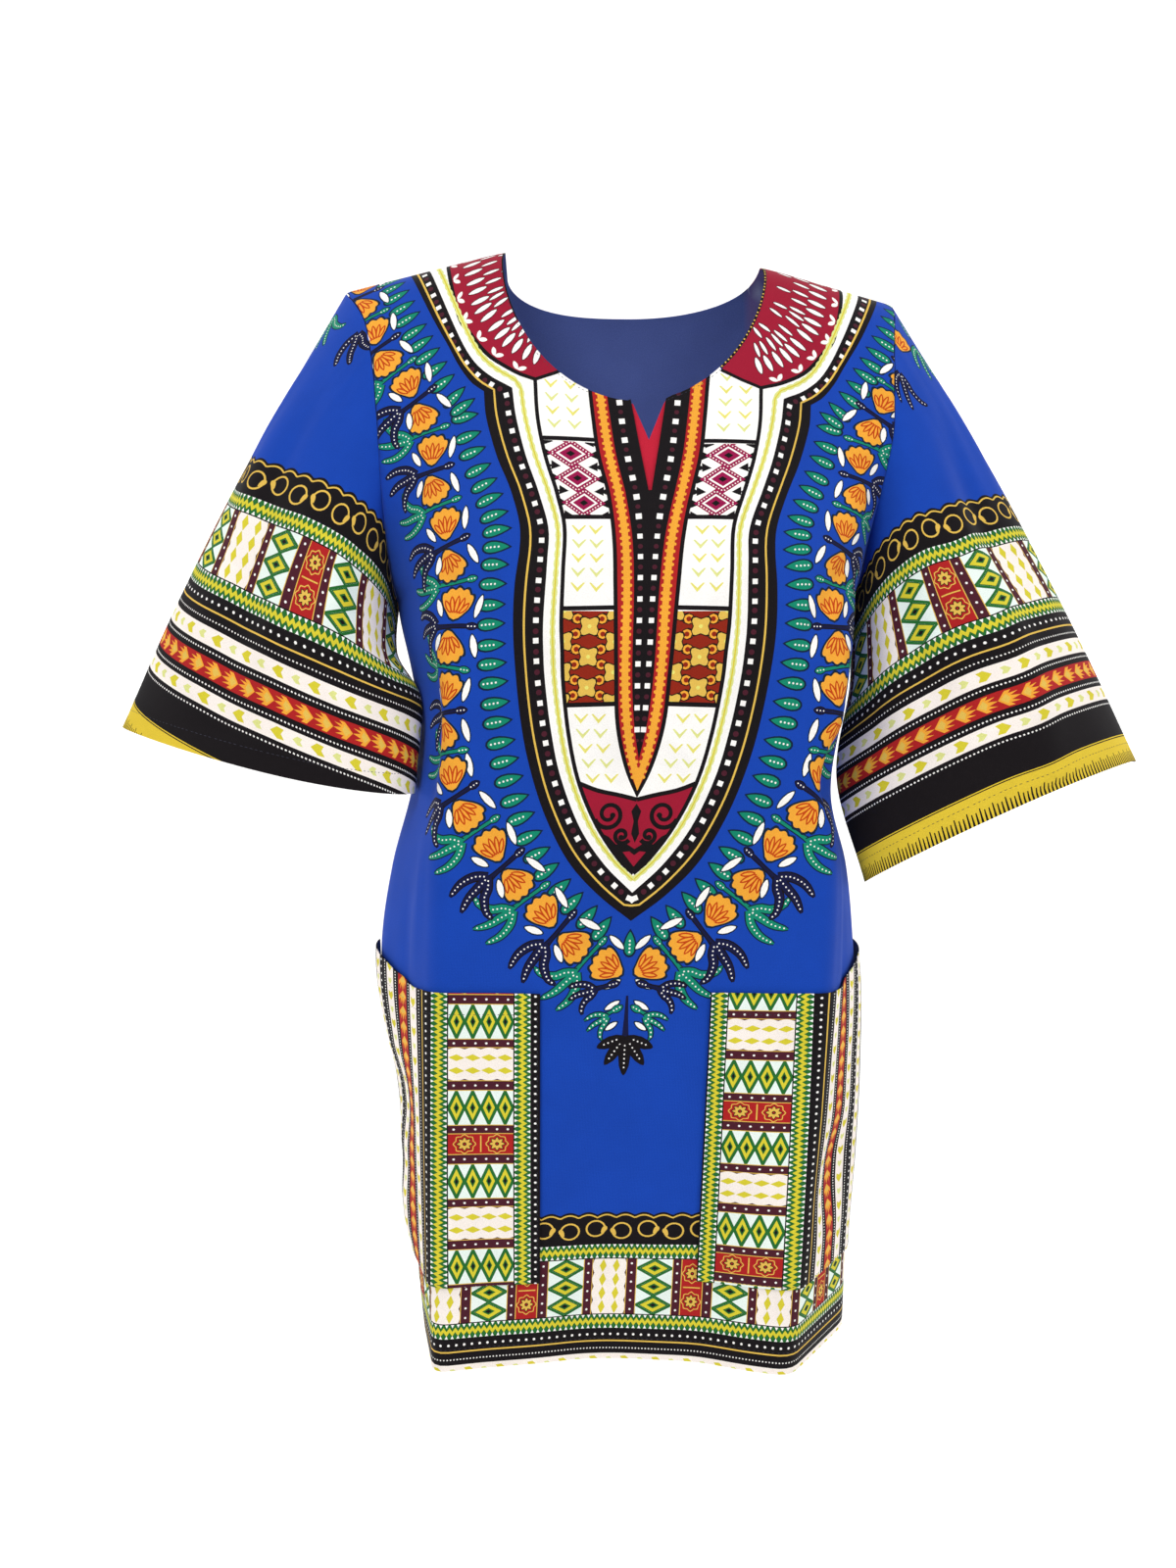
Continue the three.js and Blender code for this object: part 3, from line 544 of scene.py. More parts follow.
    def beads(self, low, high):
        self.ground("black", low, high)
        self.beads_row((low + high) / 2, 2.5, 0.8)

    def arrows(self, low, high):
        self.ground("red", low, high)
        self.ground("black", low, low + 0.8)
        self.ground("black", high - 0.8, high)
        middle = (low + high) / 2
        for s in self.steps(13.5):
            self.sheet.add("orange", ARROW + (s, middle))
            self.sheet.add("gold", ARROW_HEART + (s, middle))

    def dotted(self, low, high):
        self.ground("black", low, high)
        self.beads_row((low + high) / 2 + 0.3, 6.4, 1.1)

    def plain(self, low, high):
        self.ground("black", low, high)

    def fringe(self, low, high):
        self.ground("hem yellow", low, high)
        self.ground("black", low + 0.8, low + 1.6)
        for k, s in enumerate(self.steps(2.6)):
            top = high - (8.5 if k % 3 else 10.5)
            self.sheet.add("black", [(s - 0.35, top), (s + 0.35, top), (s + 0.75, high + 1), (s - 0.75, high + 1)])


def teardrop(length, width):
    """Pointed at its start and round at its far end."""
    t = np.linspace(0, math.tau, 16, endpoint=False)
    return pairs(length / 2 * (1 - np.cos(t)), width / 2 * np.sin(t) * np.abs(np.sin(t / 2)) ** 0.8 * 1.15)


def lens(length, width):
    """Pointed at both ends."""
    t = np.linspace(0, math.tau, 12, endpoint=False)
    return pairs(length / 2 * (1 - np.cos(t)), width / 2 * np.sin(t) * np.abs(np.sin(t)) ** 0.4)


LEAF_LENGTH, LEAF_WIDTH = 20.5, 10.0


def leaf(sheet, at, angle, length=LEAF_LENGTH):
    sheet.add("leaf edge", placed(teardrop(length, LEAF_WIDTH), at, angle))
    sheet.add("leaf", placed(teardrop(length - 3.4, LEAF_WIDTH - 2.6), at, angle) + unit(angle) * 1.9)
    for k in range(4):
        sheet.dot("white", at + unit(angle) * (length * (0.42 + 0.13 * k)), 0.75, 5)


def petal(sheet, at, angle, length, width):
    sheet.add("leaf edge", placed(lens(length, width), at, angle))
    sheet.add("white", placed(lens(length - 2.2, width - 1.9), at + unit(angle) * 1.1, angle))


def flower(sheet, at, angle, size=1.0):
    """A fan of five lobes that opens along angle from its narrow foot, with looped veins."""
    t = np.linspace(-1, 1, 27)
    reach = (19.6 + 2.2 * np.abs(np.cos(t * math.pi * 2.5))) * (1 - 0.26 * t**4)
    fan = pairs(reach * np.cos(t * 0.78), reach * np.sin(t * 0.78))
    foot = np.array(((7.2, 8.4), (3.2, 5.2), (0.4, 3.0), (-1.0, 0), (0.4, -3.0), (3.2, -5.2), (7.2, -8.4)))
    shape = np.vstack((fan, foot)) - (10, 0)
    sheet.add("leaf edge", placed(shape * 1.13, at, angle, size))
    sheet.add("orange", placed(shape * 0.98, at, angle, size))
    for spread, length in ((-0.62, 10.5), (-0.3, 12.5), (0, 13), (0.3, 12.5), (0.62, 10.5)):
        start = placed([(-6.6, spread * 4)], at, angle, size)[0]
        sheet.add("vein", placed(lens(length, 3.9), start, angle + spread, size))
        inner = placed([(1.3, 0)], start, angle + spread, size)[0]
        sheet.add("orange", placed(lens(length - 2.8, 1.6), inner, angle + spread, size))


EDGE_OF = {"leaf": "leaf edge", "navy": "black"}
FINGERS = (
    ((0, 0), (5, 5), (11, 8), (16, 15), (16, 21)),
    ((0, 0), (9, 0.5), (18, 1), (27, 4)),
    ((0, 0), (6, -6), (15, -9), (25, -8)),
)


def frond(sheet, at, angle, ink, size, flip=1):
    """Three tapering fingers from a stem's outer end, each with a row of dots."""
    lines = [smooth(placed(np.array(f) * (1, flip), at, angle, size), 2.8) for f in FINGERS]
    for grow, colour in ((0.85, EDGE_OF[ink]), (0, ink)):
        for line in lines:
            t = np.linspace(0, 1, len(line))
            half = 2.7 * np.sin(np.clip(t * 1.7 + 0.7, 0, math.pi)) ** 0.7 * (1 - t) ** 0.3 + 0.15
            sheet.ribbon(colour, line, half * size + grow)
    for line in lines:
        for p in line[1:-1]:
            sheet.dot("white", p, 0.68, 4)


def stem(sheet, at, angle, ink, length):
    """A thin stem with a bud at its inner end, drawn outwards from at."""
    run = placed(pairs(np.linspace(2, length, 7), np.zeros(7)), at, angle)
    for grow, colour in ((0.8, EDGE_OF[ink]), (0, ink)):
        sheet.ribbon(colour, run, np.array((0.7, 1.0, 0.9, 0.8, 0.9, 1.1, 1.7)) + grow)
        sheet.add(colour, placed(lens(8 + 2 * grow, 4.2 + 2 * grow), at + unit(angle) * (-2.5 - grow), angle))
    for k in range(3):
        sheet.dot("white", at + unit(angle) * (-0.6 + 2.2 * k), 0.6, 4)


# The yoke's edges on its right side, as points (across, down): outside of the black band, between the black and white
# bands, and inside of the white band, where the collar stops above and the panels start below.
YOKE_OUTER = smooth(
    ((176, -12), (172, 0), (152, 50), (137, 82), (130, 97), (121, 111), (112, 119)), 5)
YOKE_OUTER_LOW = smooth(
    ((112, 119), (110, 138), (102, 166), (92, 190), (84.5, 213), (83, 231), (84.5, 255), (84.5, 280), (82.5, 305),
     (77.5, 340), (70.5, 370), (59, 402), (42.5, 432), (22, 454), (0, 471)), 5)
YOKE_MIDDLE = smooth(((162, -12), (158, 0), (137, 58), (122.5, 91), (108.5, 108), (92.5, 118.5)), 5)
YOKE_MIDDLE_LOW = smooth(
    ((92.5, 118.5), (89.5, 139), (82.5, 166), (73.5, 191), (65.5, 216), (65, 238), (65.5, 276), (64.5, 297),
     (62.5, 317), (57.5, 347), (50, 377), (36.5, 409), (19.5, 433.5), (0, 452.5)), 5)
YOKE_INNER = smooth(((147, -12), (144, 0), (132, 56), (123, 74), (109, 94), (91, 107), (77, 112)), 5)
YOKE_INNER_LOW = smooth(
    ((77, 112), (75, 139), (69.5, 166), (61, 193), (55, 216), (54.5, 246), (54, 278), (52.5, 297), (51, 317),
     (46, 350), (38, 381), (25, 409), (10, 430.5), (0, 440)), 5)
# Half widths of the placket at each distance down: its edge, the middle of its orange strip, and its dots.
PLACKET = named("down edge strip dots", (
    (90, 44, 36, 24), (112, 41.5, 33.5, 21), (132, 39.5, 31.2, 18.8), (163, 35.5, 26.8, 14.7), (194, 28.2, 20, 8.6),
    (224, 23.6, 15, 5.4), (257, 21.5, 12.8, 4.2), (310, 18.6, 11.6, 3.4), (340, 16.6, 9.2, 2.4), (364, 11.5, 5, 1),
    (378, 6.5, 1, 0), (391, 0, 0, 0),
))
PANEL_ROWS = (
    ("chevrons", 88, 152), ("darts", 155, 207), ("chevrons", 210, 268), ("lattice", 271, 330), ("chevrons", 333, 386),
)
CHEVRON = np.array(((-4.4, -2.6), (-3.4, -2.8), (0, 0.4), (3.4, -2.8), (4.4, -2.6), (0, 3.0))) * 1.08


def placket_path(name, low, high):
    downs = np.linspace(low, high, max(2, round((high - low) / 4)))
    return np.array([(look_up(PLACKET, "down", name, d), d) for d in downs])


def yoke_width(down):
    """Half the width of the panels' field at a distance down."""
    return float(np.interp(down, YOKE_INNER_LOW[:, 1], YOKE_INNER_LOW[:, 0]))


def panel_chevrons(sheet, low, high):
    for row, d in enumerate(np.arange(low + 7, high - 3, 9.6)):
        inner, outer = look_up(PLACKET, "down", "edge", d) + 4, yoke_width(d) - 3
        for k in (0.27, 0.74):
            sheet.add("lime" if row % 2 else "pale yellow", CHEVRON + (inner + (outer - inner) * k, d))


def panel_darts(sheet, low, high):
    """Magenta diamonds with dotted edges, one over another, with black teeth at both sides."""
    tall = (high - low) / 3
    sheet.window = ((0, low), (90, high))
    for k in range(-1, 4):
        d = low + (k + 0.5) * tall
        inner, outer = look_up(PLACKET, "down", "edge", d), yoke_width(d)
        middle, half = np.array(((inner + outer) / 2, d)), (outer - inner) / 2
        for side in (-1, 1):
            for j in (-0.5, 0, 0.5):
                at = middle + (side * (half + 0.6), j * tall)
                sheet.add("black", at + np.array(((0, -3.4), (-side * 6.4, 0.6), (0, 3.2))))
        reach = np.array((half * 0.9, tall * 0.6))
        for ink, share in (("magenta", 1.0), ("white", 0.64), ("magenta", 0.5), ("black", 0.2)):
            sheet.add(ink, middle + reach * share * DIAMOND)
        for a, b in zip(DIAMOND, np.roll(DIAMOND, -1, axis=0)):
            for t in np.linspace(0.08, 0.92, 7):
                sheet.dot("white", middle + reach * 0.84 * (a + (b - a) * t), 0.62, 4)
    sheet.window = None


def panel_lattice(sheet, low, high):
    """Gold four-lobed flowers on brown, joined by small orange rings."""
    inner, outer = look_up(PLACKET, "down", "edge", 300), yoke_width(300)
    sheet.window = ((inner - 4, low), (outer + 6, high))
    sheet.bar("brown", (inner - 6, low), (outer + 8, high))
    turns = np.linspace(0, math.tau, 24, endpoint=False)
    rounded = circle(24)
    bloom = (1 + 0.24 * np.cos(turns * 4 + math.pi))[:, None] * rounded
    pitch = (high - low) / 3
    for k in range(7):
        for j in range(-1, 3):
            at = np.array(((inner + outer) / 2 + (j - 0.5 + (k % 2) / 2) * (outer - inner), low + k * pitch / 2))
            for spoke in (0.55, 2.59, 3.69, 5.73):
                for ink, r in (("black", 3.9), ("orange", 3.2), ("brown", 1.7)):
                    sheet.add(ink, at + unit(spoke) * 9.2 + rounded[::3] * r)
            for ink, shape, r in (("black", bloom, 6.9), ("gold", bloom, 5.9), ("pale yellow", rounded[::4], 1.4)):
                sheet.add(ink, at + shape * r)
    sheet.window = None


def part_way(path, other, share):
    """A path part of the way from one path to another."""
    marks = np.linspace(0, 1, 60)
    a, b = (pairs(*(np.interp(marks, np.linspace(0, 1, len(p)), p[:, k]) for k in (0, 1))) for p in (path, other))
    return a + (b - a) * share


def on_right(path):
    """The part of a path on the right of the middle line, ended on the line."""
    kept = path[path[:, 0] > 0.4]
    return np.vstack((kept, ((0, kept[-1, 1] + 0.6),)))


PANELS = {"chevrons": panel_chevrons, "darts": panel_darts, "lattice": panel_lattice}
COLLAR_EDGE = ((64, 106.5), (50, 99))  # the collar's lower edge on the right, outer end first
# Seeds on the collar: rows inwards from its outer edge, with how far each is shifted along.
SEED_ROWS = named("inward shift length width", ((10, 0, 13, 3.8), (22.5, 4.8, 11.5, 2.5), (35, 0, 10, 2.3)))


def collar_seeds(sheet):
    """Pale seeds with dark edges that point to the neck, and pairs of petals at the collar's outer edge."""
    for k, (p, angle) in enumerate(stations(YOKE_INNER[::-1], 9.8)):
        inward = angle - math.pi / 2
        way = unit(inward)
        aside = np.array((-way[1], way[0]))
        for row in SEED_ROWS:
            seed = p + way * row["inward"] + aside * row["shift"] * (1 - row["inward"] / 60)
            tip = seed + way * row["length"]
            if tip[1] < 97 + (tip[0] - 50) * 0.5 and (row["inward"] < 30 or k % 2 == 0 and p[1] < 105):
                sheet.add("maroon", placed(lens(row["length"] + 1.4, row["width"] + 1.5), seed - way * 0.7, inward))
                sheet.add("white", placed(lens(row["length"], row["width"]), seed, inward))
        if k % 2:
            for tilt in (-0.9, 0.9):
                sheet.add("white", placed(lens(6.5, 3.2), p + way * 2.2, inward + tilt))


def foot_scrolls(sheet):
    """The pointed panel at the yoke's foot: dark red, with plain scrolls in black."""
    foot = YOKE_INNER_LOW[YOKE_INNER_LOW[:, 1] > 381]
    sheet.add("collar red", np.vstack(((0, 391), (20, 388), (38.5, 382), foot, (0, 440))))
    sheet.ribbon("black", smooth(((0, 392), (12, 389), (26, 386), (40, 380.5)), 5), 1.4)
    sheet.add("black", ((0, 424), (7, 419.5), (12, 421), (17, 416), (22, 413.5), (12, 428), (0, 440)))
    sheet.add("collar red", ((0, 428), (3.4, 425.5), (7.5, 426), (0, 435.5)))
    for centre, radius, turn, way, sweep in (((17.5, 401.5), 9.6, 0.35, 1, 8.8), ((8.6, 415.2), 5.6, 2.6, -1, 7.6)):
        t = np.linspace(0, 1, 34)
        r = radius * (1 - 0.74 * t)
        a = turn + way * t * sweep
        spiral = pairs(centre[0] + r * np.cos(a), centre[1] + r * np.sin(a))
        sheet.ribbon("black", spiral, 1.5 - 0.3 * t)
        sheet.dot("black", spiral[-1], 1.9, 8)
    sheet.add("black", ((0, 394.5), (3.2, 399.5), (1.4, 406), (2.6, 414), (0, 420)))


def yoke(sheet):
    """The printed yoke, its right half and then the mirror image."""
    first = len(sheet.shapes)
    sheet.between("white", YOKE_INNER_LOW + (1, 0), YOKE_INNER_LOW * (0, 1))
    sheet.add("white", ((77.5, 113), *COLLAR_EDGE, (46, 84), (0, 84), (0, 113)))
    for kind, low, high in PANEL_ROWS:
        PANELS[kind](sheet, low, high)
    for (_, _, low), (_, high, _) in zip(PANEL_ROWS, PANEL_ROWS[1:]):
        sheet.add("black", ((0, low - 1.5), (yoke_width(low) + 1, low), (yoke_width(low) + 1, high), (0, high - 1.5)))
    foot_scrolls(sheet)
    # The placket: black with two rows of squares and dots, then red with a scalloped orange strip.
    edge = placket_path("edge", 84, 391)
    sheet.between("black", edge, edge * (0, 1))
    red = edge - (2.7, 0)
    inside = np.maximum(placket_path("strip", 84, 391) - (4.6, 0), 0)
    inside[:, 1] = edge[:, 1]
    kept = red[:, 0] > inside[:, 0] + 0.3
    sheet.between("red", red[kept], inside[kept])
    strip = placket_path("strip", 84, 378)
    sheet.ribbon("orange", np.vstack((strip, ((0, 386),))), np.append(np.full(len(strip), 2.1), 0.2))
    for p, angle in stations(strip, 4.6):
        for side in (-1, 1):
            sheet.dot("orange", p + np.array((math.sin(angle), -math.cos(angle))) * 2.4 * side, 1.2)
    for k, (p, angle) in enumerate(stations(placket_path("dots", 86, 372), 7.0)):
        size = 1.0 if p[1] < 350 else 0.6
        if p[0] > 1.6:
            if k % 2:
                sheet.square("white", p, (2.0 if p[1] < 215 else 1.7) * size, angle)
            else:
                sheet.dot("maroon", p, 1.7 * size, 8)
    # Collar: dark red with seeds, edged in black.
    sheet.add("collar red", np.vstack((YOKE_INNER, (*COLLAR_EDGE, (70, 70), (80, 30), (80, -12)))))
    sheet.ribbon("black", ((78, 112.5), *COLLAR_EDGE), 1.2)
    collar_seeds(sheet)
    # White band with its wavy line, and the black edge on its inner side.
    for outer, inner in ((YOKE_MIDDLE, YOKE_INNER), (YOKE_MIDDLE_LOW, YOKE_INNER_LOW)):
        sheet.between("white", outer, inner)
    whole_middle = even(np.vstack((YOKE_MIDDLE[:-1], YOKE_MIDDLE_LOW)), 5)
    for path in (YOKE_INNER, YOKE_INNER_LOW):
        sheet.ribbon("black", path, 1.3)
    wave = on_right(even(offset(whole_middle, 6.0), 1.6))
    sheet.ribbon("lime", wave, 1.25 + 0.65 * np.abs(np.sin(np.arange(len(wave)) * math.pi / 4)))
    sheet.ribbon("yellow", wave, 0.45)
    # Black band with squares and dots and a thin gold line.
    for outer, inner in ((YOKE_OUTER, YOKE_MIDDLE), (YOKE_OUTER_LOW, YOKE_MIDDLE_LOW)):
        sheet.between("black", outer, inner)
    for k, (p, angle) in enumerate(stations(on_right(offset(whole_middle, -4.6)), 6.6)):
        if k % 2:
            sheet.square("white", p, 1.75, angle)
        else:
            sheet.dot("maroon", p, 1.9, 8)
    line = np.vstack((part_way(YOKE_OUTER, YOKE_MIDDLE, 0.36)[:-1], part_way(YOKE_OUTER_LOW, YOKE_MIDDLE_LOW, 0.36)))
    sheet.ribbon("gold", on_right(line), 0.65)
    sheet.mirror(first)
    sheet.square("white", (0, 457.5), 1.5, 0.78)


# The middle of the garland on its right side, upwards from the foot, and the way between the things on it.
GARLAND = smooth(
    ((0, 504), (17, 500), (41, 481), (62, 461), (80, 439), (97, 418), (110, 400), (121, 381), (127, 360), (129, 338),
     (129, 315), (126, 289), (125, 262), (130, 236), (138, 208), (147, 177), (150, 150), (158, 120), (172, 95),
     (184, 75), (196, 45), (206, 10), (208, -20)), 3)
GARLAND_STEP, LEAF_STEP = 14.0, 12.4


def garland(sheet):
    """A ring of leaves round the yoke and a garland of flowers, stems and fronds outside it."""
    first = len(sheet.shapes)
    outline = np.vstack((YOKE_OUTER[:-1], YOKE_OUTER_LOW))[::-1]
    ring = smooth(offset(even(outline, 14), 4.6), 3)
    for p, angle in stations(ring[ring[:, 1] > -20], LEAF_STEP, 1.0):
        if p[1] < 478 and p[0] > 5:
            leaf(sheet, p, angle + math.pi / 2)
    for k, (p, angle) in enumerate(stations(GARLAND, GARLAND_STEP, 1.0)):
        outward = angle + math.pi / 2
        way, along = unit(outward), unit(angle)
        if k % 2 == 0:
            # Flowers lie either side of each navy stem and open away from it.
            if k % 4:
                flower(sheet, p + way * 1.5, angle + math.pi + 0.15, 0.98)
            else:
                flower(sheet, p - way, angle - 0.15, 0.98)
        else:
            navy = k % 4 == 3
            ink, tilt = ("navy", 0.06) if navy else ("leaf", -0.06)
            stem(sheet, p - way * 14, outward + tilt, ink, 28)
            frond(sheet, p + way * 13, outward + tilt * 2, ink, 1.06, 1 if navy else -1)
            # Four white petals lie beside each navy stem, two at its inner end and two at its outer end.
            for side in (-1, 1) if navy else ():
                for start, length, splay in ((-13.5, 17.5, -0.28), (8.5, 14.5, 0.42)):
                    aside = along * side * math.cos(splay) + way * math.sin(splay)
                    petal(sheet, p + way * start + along * side * 4.6, math.atan2(aside[1], aside[0]), length, 6.2)
    sheet.mirror(first)
    leaf(sheet, np.array((0, 476.0)), math.pi / 2, 19)
    # The spray at the foot, on the middle line.
    first = len(sheet.shapes)
    for at, angle, length, width in (
        ((3, 490), -0.75, 15, 6), ((4, 509), 0.5, 14, 5.6), ((4, 523), 0.55, 13, 5.2), ((5, 537), 0.6, 11, 5),
    ):
        petal(sheet, np.array(at), angle, length, width)
    stem(sheet, np.array((8, 512)), 0.25, "navy", 14)
    frond(sheet, np.array((21, 516)), 0.2, "navy", 0.68)
    stem(sheet, np.array((5, 528)), 0.5, "leaf", 10)
    frond(sheet, np.array((12, 534)), 0.45, "leaf", 0.6)
    sheet.mirror(first)
    sheet.ribbon("navy", ((0, 520), (0, 535), (0, 550)), (0.8, 1.4, 2.4))
    foot = np.array((0, 547.0))
    for spread in (-1.2, -0.6, 0, 0.6, 1.2):
        length = 26 - 5 * abs(spread)
        sheet.add("black", placed(lens(length, 8.0), foot, math.pi / 2 + spread))
        for r in np.arange(6, length - 3, 2.9):
            sheet.dot("white", foot + unit(math.pi / 2 + spread) * r, 0.66, 4)


HEM_BORDER_TOP, HEM_BORDER_SCALE, HEM_BLOCKS_FROM = 664, 0.8, -17
HEM_BANDS = ("rings", "zigzag", "blocks", "zigzag 2", "dots", "petals")


def hem_border(sheet, half_width):
    def to_cloth(points):
        return points + (0, HEM_BORDER_TOP)

    border = Border(sheet, to_cloth, -half_width, half_width, HEM_BORDER_SCALE, HEM_BORDER_SCALE)
    border.draw(HEM_BANDS, HEM_BLOCKS_FROM)


front_print = Print()
garland(front_print)
yoke(front_print)
hem_border(front_print, 270)


EDGE_INSET = 0.2  # a cut edge lies this far inside its seam
NECK_STEPS = 48
# The slit's edge from left to right: how far from its middle, and the height, as shown from the front.
SLIT_EDGE = (
    (-12, -FRONT_NECK_DROP * 0.99), (-6.5, -155), (-1, -SLIT_FOOT), (1, -SLIT_FOOT), (6.5, -155),
    (12, -FRONT_NECK_DROP * 0.985),
)


def outline_of_body(surface, neck):
    """The cut edge of a body as spots, with its neck opening as further spots from left to right."""
    downs = np.concatenate((np.arange(2, 60, 4), np.arange(60, LENGTH - 2, 6), [LENGTH]))
    low, high = surface.reach(downs)
    left, right = pairs(low + EDGE_INSET, downs), pairs(high - EDGE_INSET, downs)

    def level(start, end, step, down):
        across = np.arange(start, end, step)
        return pairs(across, across * 0 + down)

    hem = level(low[-1] + 5, high[-1] - 2, 5, LENGTH)
    run_left = level(surface.reach(0)[0] + 4, neck[0][0] - 2, 4, EDGE_INSET)
    run_right = level(neck[-1][0] + 4, surface.reach(0)[1] - 2, 4, EDGE_INSET)
    return np.vstack((left[::-1], run_left, neck, run_right, right, hem[::-1]))


def neck_line(surface, drop, slit):
    """The edge of the neck opening from left to right, with the slit in it on the front."""
    spots, slit_to_come = [], slit
    for k in range(NECK_STEPS + 1):
        angle = math.pi * (1 + k / NECK_STEPS)
        x = NECK_HALF_WIDTH * math.cos(angle)
        if slit_to_come and x > SLIT_X - 0.01:
            spots += [surface.spot(SLIT_X + aside, height) for aside, height in SLIT_EDGE]
            slit_to_come = False
        if not (slit and abs(x - SLIT_X) < SLIT_HALF_WIDTH):
            at_ridge = float(ridge_height(x)) if k in (0, NECK_STEPS) else 0
            spots.append(surface.spot(x, drop * math.sin(angle) + at_ridge))
    spots = np.array(spots)
    spots[:, 1] = np.maximum(spots[:, 1], EDGE_INSET)
    return spots


def nodes_of(material):
    """A way to add nodes: add(type, settings, socket=value or output)."""
    tree = material.node_tree

    def add(kind, settings=(), **inputs):
        node = tree.nodes.new(kind)
        for name, value in dict(settings).items():
            setattr(node, name, value)
        for name, value in inputs.items():
            socket = node.inputs[int(name[1:])] if name[0] == "_" else node.inputs[name.replace("_", " ")]
            if isinstance(value, bpy.types.NodeSocket):
                tree.links.new(value, socket)
            else:
                socket.default_value = value
        return node

    return add


THREADS_ACROSS, THREADS_DOWN, THREAD_RELIEF = 320.0, 340.0, 0.0002  # the weave's waves a metre, and metres


def printed_cotton():
    """Plain woven cotton, wax printed. The inks soak in, so the cloth stays dull, with a fine weave and a few slubs."""
    material = bpy.data.materials.new("wax_printed_cotton")
    material.use_nodes = True
    material.node_tree.nodes.clear()
    add = nodes_of(material)
    flat = add("ShaderNodeUVMap", {"uv_map": "cloth"}).outputs["UV"]
    ink = add("ShaderNodeAttribute", {"attribute_name": "ink"}).outputs["Color"]
    slubs = add("ShaderNodeTexNoise", Vector=flat, Scale=1400.0, Detail=3.0, Roughness=0.7).outputs["Fac"]
    wear = add("ShaderNodeTexNoise", Vector=flat, Scale=24.0, Detail=4.0, Roughness=0.6).outputs["Fac"]
    grain, patch = (
        add("ShaderNodeMapRange", Value=noise, From_Min=0.3, From_Max=0.7, To_Min=low, To_Max=high).outputs["Result"]
        for noise, low, high in ((slubs, 0.86, 1.12), (wear, 0.95, 1.05))
    )
    tone = add("ShaderNodeMath", {"operation": "MULTIPLY"}, _0=grain, _1=patch).outputs[0]
    colour = add("ShaderNodeVectorMath", {"operation": "SCALE"}, _0=ink, Scale=tone).outputs[0]
    warp, weft = (
        add("ShaderNodeTexWave", {"bands_direction": way}, Vector=flat, Scale=scale, Distortion=1.5, Detail=1.0)
        for way, scale in (("X", THREADS_ACROSS), ("Y", THREADS_DOWN))
    )
    weave = add("ShaderNodeMath", {"operation": "MULTIPLY"}, _0=warp.outputs["Fac"], _1=weft.outputs["Fac"]).outputs[0]
    bump = add("ShaderNodeBump", Strength=0.25, Distance=THREAD_RELIEF, Height=weave).outputs["Normal"]
    cloth = add(
        "ShaderNodeBsdfPrincipled", Base_Color=colour, Roughness=0.9, Specular_IOR_Level=0.18, Sheen_Weight=0.03,
        Normal=bump)
    add("ShaderNodeOutputMaterial", Surface=cloth.outputs[0])
    return material


COTTON = printed_cotton()


def turn_of(points):
    """The area inside a loop, above 0 where it runs anticlockwise."""
    x, y = points[:, 0], points[:, 1]
    return float(np.sum(x * np.roll(y, -1) - np.roll(x, -1) * y)) / 2


def meshed(outline, shapes, ground, spots):
    """A flat piece cut into triangles along its printed shapes: its points, its triangles, and the ink of each."""
    outline = outline if turn_of(outline) > 0 else outline[::-1]
    low, high = outline.min(axis=0), outline.max(axis=0)
    all_points, faces, inks = [], [], []
    for ink, points in [(ground, outline)] + shapes:
        if (points.max(axis=0) > low).all() and (points.min(axis=0) < high).all():
            faces.append(list(range(len(all_points), len(all_points) + len(points))))
            all_points += [tuple(p) for p in (points if turn_of(points) > 0 else points[::-1])]
            inks.append(ink)
    spots = np.asarray(spots, float).reshape(-1, 2)
    spots = spots[((spots > low) & (spots < high)).all(axis=1)]
    made = delaunay_2d_cdt(all_points + [tuple(p) for p in spots], [], faces, 0, 1e-4, True)
    kept = [(t, max(s)) for t, s in zip(made[2], made[5]) if 0 in s]
    used = sorted({v for t, _ in kept for v in t})
    number = {v: k for k, v in enumerate(used)}
    points = np.array([tuple(made[0][v]) for v in used])
    return points, np.array([[number[v] for v in t] for t, _ in kept]), [inks[s] for _, s in kept]


def rim_of(triangles):
    """The edges that only one triangle has."""
    edges = {(t[k], t[k - 2]) for t in triangles.tolist() for k in range(3)}
    return [(p, q) for p, q in edges if (q, p) not in edges]


def loops_of(rim):
    """The rim's edges as closed loops of points."""
    after = dict(rim)
    loops = []
    while after:
        start, v = after.popitem()
        loop = [start]
        while v != start:
            loop.append(v)
            v = after.pop(v)
        loops.append(loop)
    return loops


def in_scene(name, data):
    made = bpy.data.objects.new(name, data)
    bpy.context.scene.collection.objects.link(made)
    return made


def mesh_object(name, points, faces, material):
    """A new object in the scene, from points in metres."""
    mesh = bpy.data.meshes.new(name)
    mesh.from_pydata([tuple(p) for p in points], [], faces)
    mesh.materials.append(material)
    return in_scene(name, mesh)


REVERSE_TINT = np.array((0.32, 0.36, 0.5))  # the pale blue that the bare side of the cloth tends to


def reverse_colour(ink, ground):
    """The colour on the inside where an ink shows through, paler and soft, as linear red, green, blue and alpha."""
    colour = ink * 0.3 + ground * 0.7
    return np.append(colour[:3] * 0.7 + REVERSE_TINT * 0.3, 1)


